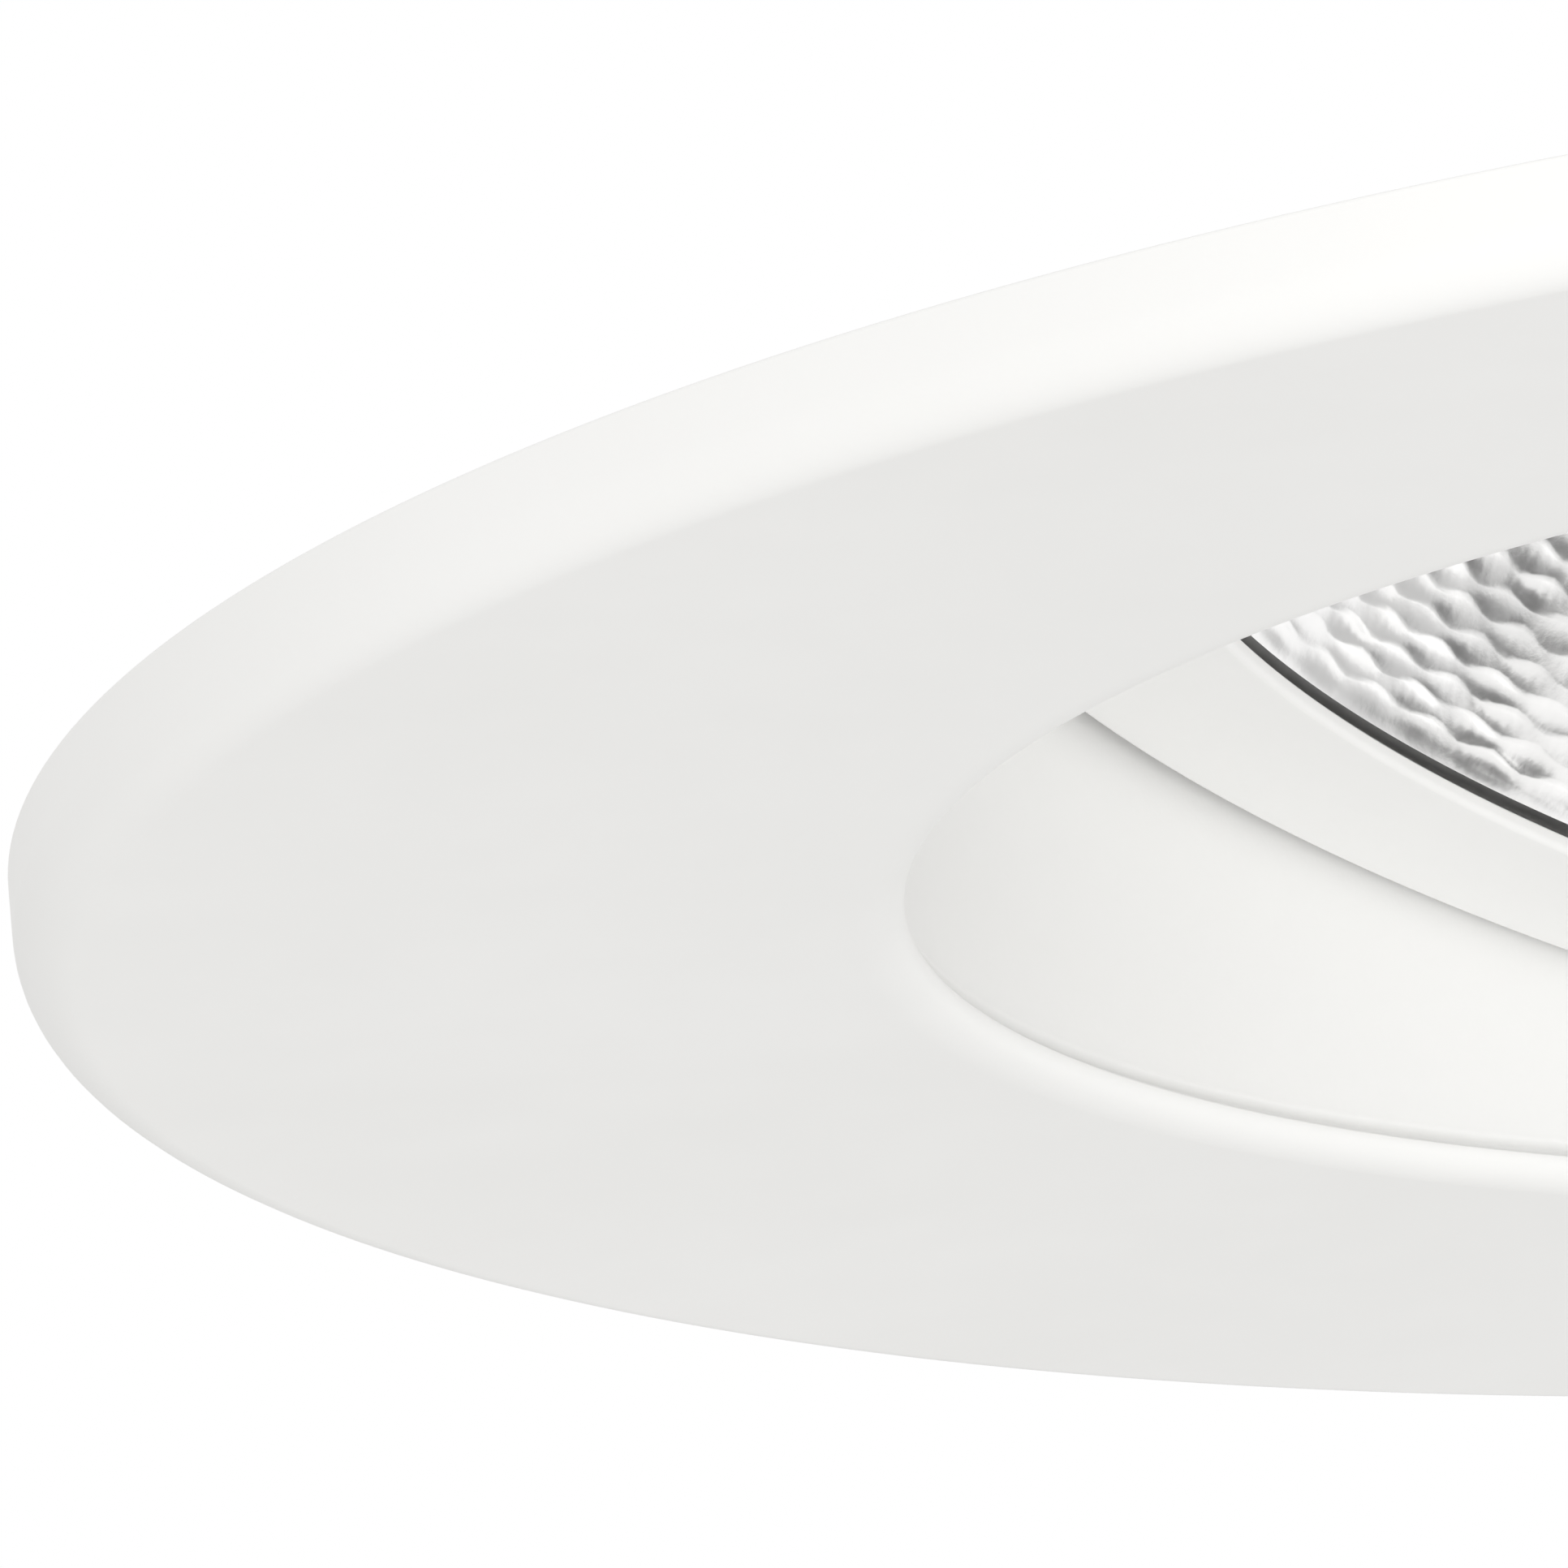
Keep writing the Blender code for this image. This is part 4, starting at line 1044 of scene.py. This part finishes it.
def make_housing(material):
    heel = BOWL_MOUTH + SHELL_T + SEAT_GAP
    points = [
        (CONE_R[1], SHELL_TOP, 0.8 * MM),
        (CONE_R[1], CONE_Z[1], 1.2 * MM),
        (CONE_R[0], CONE_Z[0], 2.0 * MM),
        (CONE_R[0], SHELL_FOOT_Z[1], 0.3 * MM),
        (SHELL_FOOT_R, SHELL_FOOT_Z[1], 0.4 * MM),
        (SHELL_FOOT_R, SHELL_FOOT_Z[0], 0.2 * MM),
        (51.3 * MM, SHELL_FOOT_Z[0], 0.1 * MM),
        (51.3 * MM, heel, 0.1 * MM),
        (CONE_R[0] - CONE_T, heel, 0.1 * MM),
        (CONE_R[0] - CONE_T, CONE_Z[0], 1.0 * MM),
        (CONE_R[1] - CONE_T, CONE_Z[1], 1.0 * MM),
        (SHELL_HOLE_R, SHELL_TOP - 2.0 * MM, 0.3 * MM),
        (SHELL_HOLE_R, SHELL_TOP, 0.3 * MM),
    ]
    shell = lathe("lamp_shell", points, LAMP, steps=5)
    cutters = []
    for side in (-1, 1):
        ends = sorted((side * 51.7 * MM, side * 58.0 * MM))
        cutters.append(block("notch", (-5.2 * MM, ends[0], -3 * MM), (5.2 * MM, ends[1], 3 * MM), LAMP))
    cutters += rods(1.3 * MM, -2 * MM, 3 * MM, HOUSING_SCREW_R, SHELL_ANGLES, LAMP)
    cutters += rods(1.45 * MM, 41 * MM, 48 * MM, SINK_SCREW_R, SINK_ANGLES, LAMP)
    cutters.append(rod("cable_hole", CABLE_HOLE_R, -6 * MM, 6 * MM, matrix=grommet_place()))
    cut(shell, cutters)
    finish_piece(shell, material, "lamp_housing")


def grommet_place():
    """Square to the housing's cone, on its +Y side."""
    shrink, rise = CONE_R[0] - CONE_R[1], CONE_Z[1] - CONE_Z[0]
    wall = CONE_R[0] - shrink * (GROMMET_Z - CONE_Z[0]) / rise - CONE_T / 2
    turn = Matrix.Rotation(math.atan2(shrink, rise) - math.pi / 2, 4, "X")
    return LAMP @ Matrix.Translation((0, wall, GROMMET_Z)) @ turn


def make_grommet(material):
    near, far = 1.15 * MM, 2.6 * MM
    neck = CABLE_HOLE_R - SEAT_GAP
    points = [
        (4.8 * MM, far, 0.9 * MM),
        (4.8 * MM, near, 0.2 * MM),
        (neck, near),
        (neck, -near),
        (4.8 * MM, -near, 0.2 * MM),
        (4.8 * MM, -far, 0.5 * MM),
        (2.0 * MM, -far, 0.4 * MM),
        (2.0 * MM, far, 0.5 * MM),
    ]
    grommet = lathe("inlet_grommet", points, grommet_place(), sides=ROUND_SIDES)
    finish_piece(grommet, material, "cable_grommet")


def fin_outline(count=18, core=13.0 * MM, reach=39.0 * MM, half=0.8 * MM):
    """The fins' section, with round tips and filleted roots."""
    corners = []
    for k in range(count):
        middle = 2 * math.pi * k / count
        along = Vector((math.cos(middle), math.sin(middle)))
        across = Vector((-along.y, along.x))
        root = math.sqrt(core**2 - half**2)
        tip = math.sqrt(reach**2 - half**2)
        for distance, offset, radius in ((root, -1.5 * half, 0.5 * MM), (tip, -half * 0.75, 0.6 * half),
                                         (tip, half * 0.75, 0.6 * half), (root, 1.5 * half, 0.5 * MM)):
            corners.append((*(along * distance + across * offset), radius))
    return rounded(corners, steps=3)


def make_heat_sink(material):
    points = disc(SINK_BASE_R, SINK_LOW, SINK_BASE_TOP, 0.5 * MM, 0.6 * MM)
    sink = lathe("finned_sink", points, LAMP, closed=False)
    fins = extruded("fins", fin_outline(), SINK_BASE_TOP - 0.8 * MM, SINK_TOP, LAMP)
    join(sink, [soften(fins, 0.35 * MM, angle=60)])
    cutters = rods(1.45 * MM, SINK_LOW - 2 * MM, SINK_BASE_TOP + 2 * MM, SINK_SCREW_R, SINK_ANGLES, LAMP)
    for x in LED_SCREW_X:
        cutters.append(rod("pilot", 1.2 * MM, SINK_LOW - 2 * MM, 48.6 * MM, (x, 0), matrix=LAMP))
    cut(sink, cutters)
    finish_piece(sink, material, "heat_sink")


def make_unit_screws(material):
    sink = screw_mesh("sink_bolt", 42.5 * MM, SINK_BASE_TOP + SEAT_GAP, 1.15 * MM, 2.5 * MM, 1.9 * MM)
    shell = screw_mesh("shell_bolt", RING_BACK + 0.1 * MM, 1.5 * MM, 1.05 * MM, 1.85 * MM, 1.5 * MM)
    for number, (low, high) in enumerate(zip(SHELL_ANGLES, SINK_ANGLES), 1):
        place = LAMP @ spot(SINK_SCREW_R, high, 41 * number)
        place_screw(f"sink_bolt_{number}", f"sink_screw_{number}", sink, material, place)
        place = LAMP @ spot(HOUSING_SCREW_R, low, 41 * number)
        place_screw(f"shell_bolt_{number}", f"housing_screw_{number}", shell, material, place)


def make_led(steel):
    """From the heat sink down: pad, board, light-giving disc and holder."""
    pad_top = SINK_LOW - SEAT_GAP
    pad_low = pad_top - 0.5 * MM
    points = disc(11.0 * MM, pad_low, pad_top, 0.1 * MM, 0.1 * MM)
    piece = lathe("heat_pad", points, LAMP, sides=ROUND_SIDES, closed=False)
    finish_piece(piece, thermal_pad(), "thermal_pad")
    board_top = pad_low - SEAT_GAP
    board_low = board_top - 1.2 * MM
    board = block("chip_board", (-9.5 * MM, -9.5 * MM, board_low), (9.5 * MM, 9.5 * MM, board_top), LAMP)
    soften(board, 0.12 * MM)
    finish_piece(board, led_ceramic(), "led_board")
    shelf = board_low - SEAT_GAP
    points = [(0, shelf), (7.2 * MM, shelf, 0.05 * MM), (7.2 * MM, shelf - 0.4 * MM, 0.15 * MM),
              (5.0 * MM, shelf - 0.47 * MM), (0, shelf - 0.5 * MM)]
    piece = lathe("chip_emitter", points, LAMP, sides=ROUND_SIDES, closed=False)
    finish_piece(piece, led_phosphor(), "led_emitter")
    face = 39.9 * MM
    points = [
        (20.0 * MM, pad_top, 0.3 * MM),
        (20.0 * MM, face + 1.4 * MM, 0.6 * MM),
        (18.6 * MM, face, 0.5 * MM),
        (11.2 * MM, face, 0.4 * MM),
        (9.3 * MM, shelf - 0.9 * MM, 0.2 * MM),
        (9.3 * MM, shelf, 0.1 * MM),
        (13.9 * MM, shelf, 0.2 * MM),
        (13.9 * MM, pad_top, 0.2 * MM),
    ]
    piece = lathe("chip_holder", points, LAMP, sides=ROUND_SIDES)
    cut(piece, [rod("hole", 1.2 * MM, 38 * MM, 48 * MM, (x, 0), matrix=LAMP) for x in LED_SCREW_X])
    finish_piece(piece, holder_plastic(), "led_holder")
    mesh = screw_mesh("holder_bolt", -47.8 * MM, SEAT_GAP - face, 0.95 * MM, 1.8 * MM, 1.3 * MM)
    for number, x in enumerate(LED_SCREW_X, 1):
        turn = Matrix.Rotation(math.pi, 4, "X") @ Matrix.Rotation(0.6 * number, 4, "Z")
        place = LAMP @ Matrix.Translation((x, 0, 0)) @ turn
        place_screw(f"holder_bolt_{number}", f"led_screw_{number}", mesh, steel, place)


# ---- stage and light

def make_camera():
    sin_e, cos_e = math.sin(CAMERA_ELEVATION), math.cos(CAMERA_ELEVATION)
    sin_r, cos_r = math.sin(CAMERA_ROLL), math.cos(CAMERA_ROLL)
    ahead = Vector((0, cos_e, sin_e))
    level, below = Vector((1, 0, 0)), Vector((0, sin_e, -cos_e))
    right = level * cos_r - below * sin_r
    down = level * sin_r + below * cos_r
    camera = bpy.data.cameras.new("camera")
    camera.lens = LENS_MM
    camera.sensor_width = SENSOR_MM
    camera.clip_start = 0.05
    camera.clip_end = 200
    obj = new_object("camera", camera)
    place = Matrix((right, -down, -ahead)).transposed().to_4x4()
    place.translation = -(right * CENTRE_RIGHT + down * CENTRE_DOWN + ahead * CAMERA_DISTANCE)
    obj.matrix_world = place
    bpy.context.scene.camera = obj


def mix_shaders(tree, share, first, second, output):
    """Shows the first shader where share is 0 and the second where it is 1."""
    mix = add_node(tree, "MixShader", Fac=share)
    tree.links.new(first, mix.inputs[1])
    tree.links.new(second, mix.inputs[2])
    tree.links.new(mix.outputs["Shader"], output.inputs["Surface"])


def make_floor(material):
    """A pale floor just under the lamp at its steepest. It is seen from above only, so it hides no light."""
    bpy.ops.mesh.primitive_plane_add(size=160, location=(0, 0, FLOOR_Z))
    floor = bpy.context.object
    floor.name = "floor"
    stage_sheet(floor, material)


def make_ceiling():
    """The white ceiling that the fitting is let into, seen from below only."""
    points = [(CEILING_R, 0.05 * MM), (CEILING_HOLE_R, 0.05 * MM)]
    work = lathe_mesh("ceiling", points, RING_SIDES, closed=False)
    ceiling = new_object("ceiling", work)
    white = {"Emission_Color": (1, 1, 1, 1), "Emission_Strength": 1.0}
    paint = Shader("ceiling_paint", (0, 0, 0), 1.0, Specular_IOR_Level=0.0, **white)
    stage_sheet(ceiling, paint.material)


def stage_sheet(sheet, material):
    """One-sided scenery that only the camera sees."""
    tree = material.node_tree
    output = tree.nodes["Material Output"]
    shown = output.inputs["Surface"].links[0].from_socket
    clear = add_node(tree, "BsdfTransparent").outputs["BSDF"]
    mix_shaders(tree, add_node(tree, "NewGeometry").outputs["Backfacing"], shown, clear, output)
    sheet.data.materials.append(material)
    sheet.visible_diffuse = False
    sheet.visible_glossy = False
    sheet.visible_transmission = False
    sheet.visible_shadow = False


def area_light(name, place, size, power):
    """A light panel that faces the origin."""
    light = bpy.data.lights.new(name, "AREA")
    light.shape = "RECTANGLE"
    light.size, light.size_y = size
    light.energy = power
    obj = new_object(name, light)
    obj.location = place
    obj.rotation_euler = (-Vector(place)).to_track_quat("-Z", "Y").to_euler()


class Sky:
    """Sums and products of smooth masks over the sky's directions."""

    def __init__(self, tree):
        self.tree = tree
        self.way = add_node(tree, "TexCoord").outputs["Generated"]

    def operate(self, kind, operation, first, second):
        node = add_node(self.tree, kind)
        node.operation = operation
        self.tree.links.new(first, node.inputs[0])
        if isinstance(second, bpy.types.NodeSocket):
            self.tree.links.new(second, node.inputs[1])
        else:
            node.inputs[1].default_value = second
        return node.outputs["Value"]

    def along(self, direction):
        """How far each direction of the sky points along the one given."""
        return self.operate("VectorMath", "DOT_PRODUCT", self.way, direction)

    def ramp(self, source, start, end, low=0.0, high=1.0):
        node = map_range(self.tree, source, start, end, low, high)
        node.interpolation_type = "SMOOTHSTEP"
        return node.outputs["Result"]

    def join(self, operation, first, *rest):
        for source in rest:
            first = self.operate("Math", operation, first, source)
        return first


def compass(azimuth, elevation):
    """A direction: azimuth from +Y towards +X, in degrees."""
    a, e = math.radians(azimuth), math.radians(elevation)
    return math.sin(a) * math.cos(e), math.cos(a) * math.cos(e), math.sin(e)


def make_world():
    """White where the camera looks past the object. For light and reflections it is a studio: glows low on
    the left and on the right, and on the far right a shaded part with a light panel and a dark patch."""
    world = bpy.data.worlds.new("studio")
    bpy.context.scene.world = world
    world.use_nodes = True
    tree = world.node_tree
    backdrop = tree.nodes["Background"]
    backdrop.inputs["Color"].default_value = (1, 1, 1, 1)
    sky = Sky(tree)
    height = sky.along((0, 0, 1))
    base = sky.ramp(height, -0.1, 0.05, SKY_LOW, SKY_HIGH)
    left = sky.join("MULTIPLY", sky.ramp(sky.along(compass(270, 0)), -0.3, 0.9),
                    sky.ramp(height, 0.05, -0.1, 0.0, LEFT_GLOW))
    right = sky.ramp(sky.along(compass(125, -35)), 0.35, 0.95, 0.0, RIGHT_GLOW)
    shade = sky.ramp(sky.along(compass(78, -36)), 0.88, 0.97, 1.0, SHADE)
    patch = sky.ramp(sky.along(compass(74, -44)), 0.982, 0.996, 1.0, DARK_PATCH)
    room = sky.join("MULTIPLY", sky.join("ADD", base, left, right), shade, patch)
    panel = sky.join("MULTIPLY", sky.ramp(sky.along(compass(55, 0)), 0.74, 0.84),
                     sky.ramp(height, -0.52, -0.45), sky.ramp(height, -0.22, -0.28, 0.0, PANEL_GLOW))
    studio = add_node(tree, "Background", Color=STUDIO_TINT, Strength=sky.join("ADD", room, panel))
    seen = add_node(tree, "LightPath").outputs["Is Camera Ray"]
    mix_shaders(tree, seen, studio.outputs["Background"], backdrop.outputs["Background"],
                tree.nodes["World Output"])


def make_lights():
    area_light("front_box", place=(-0.2, -2.4, -0.62), size=(1.5, 1.1), power=13.1)
    area_light("top_box", place=(-1.0, -1.2, 2.2), size=(1.6, 1.6), power=7.8)


def main():
    white = white_coat()
    zinc = zinc_plate()
    steel = screw_steel()
    soft_nylon = nylon()
    make_camera()
    make_trim(white)
    make_gasket(gasket_foam())
    make_glide_ring(soft_nylon)
    make_mounting_ring(zinc)
    make_trim_screws(steel)
    make_stop_pin(steel)
    make_clips(zinc, moulded_rubber("clip_foot_rubber", 0.05), steel, spring_steel())
    make_swivel_ring(white, soft_nylon)
    make_gimbal_ring(white)
    make_pivot_screws(steel)
    make_reflector(hammered_metal())
    make_housing(black_coat())
    make_grommet(moulded_rubber())
    make_heat_sink(cast_aluminium())
    make_unit_screws(steel)
    make_led(steel)
    make_floor(floor_paint())
    make_ceiling()
    make_world()
    make_lights()
    bpy.context.scene.view_settings.view_transform = "Standard"


main()
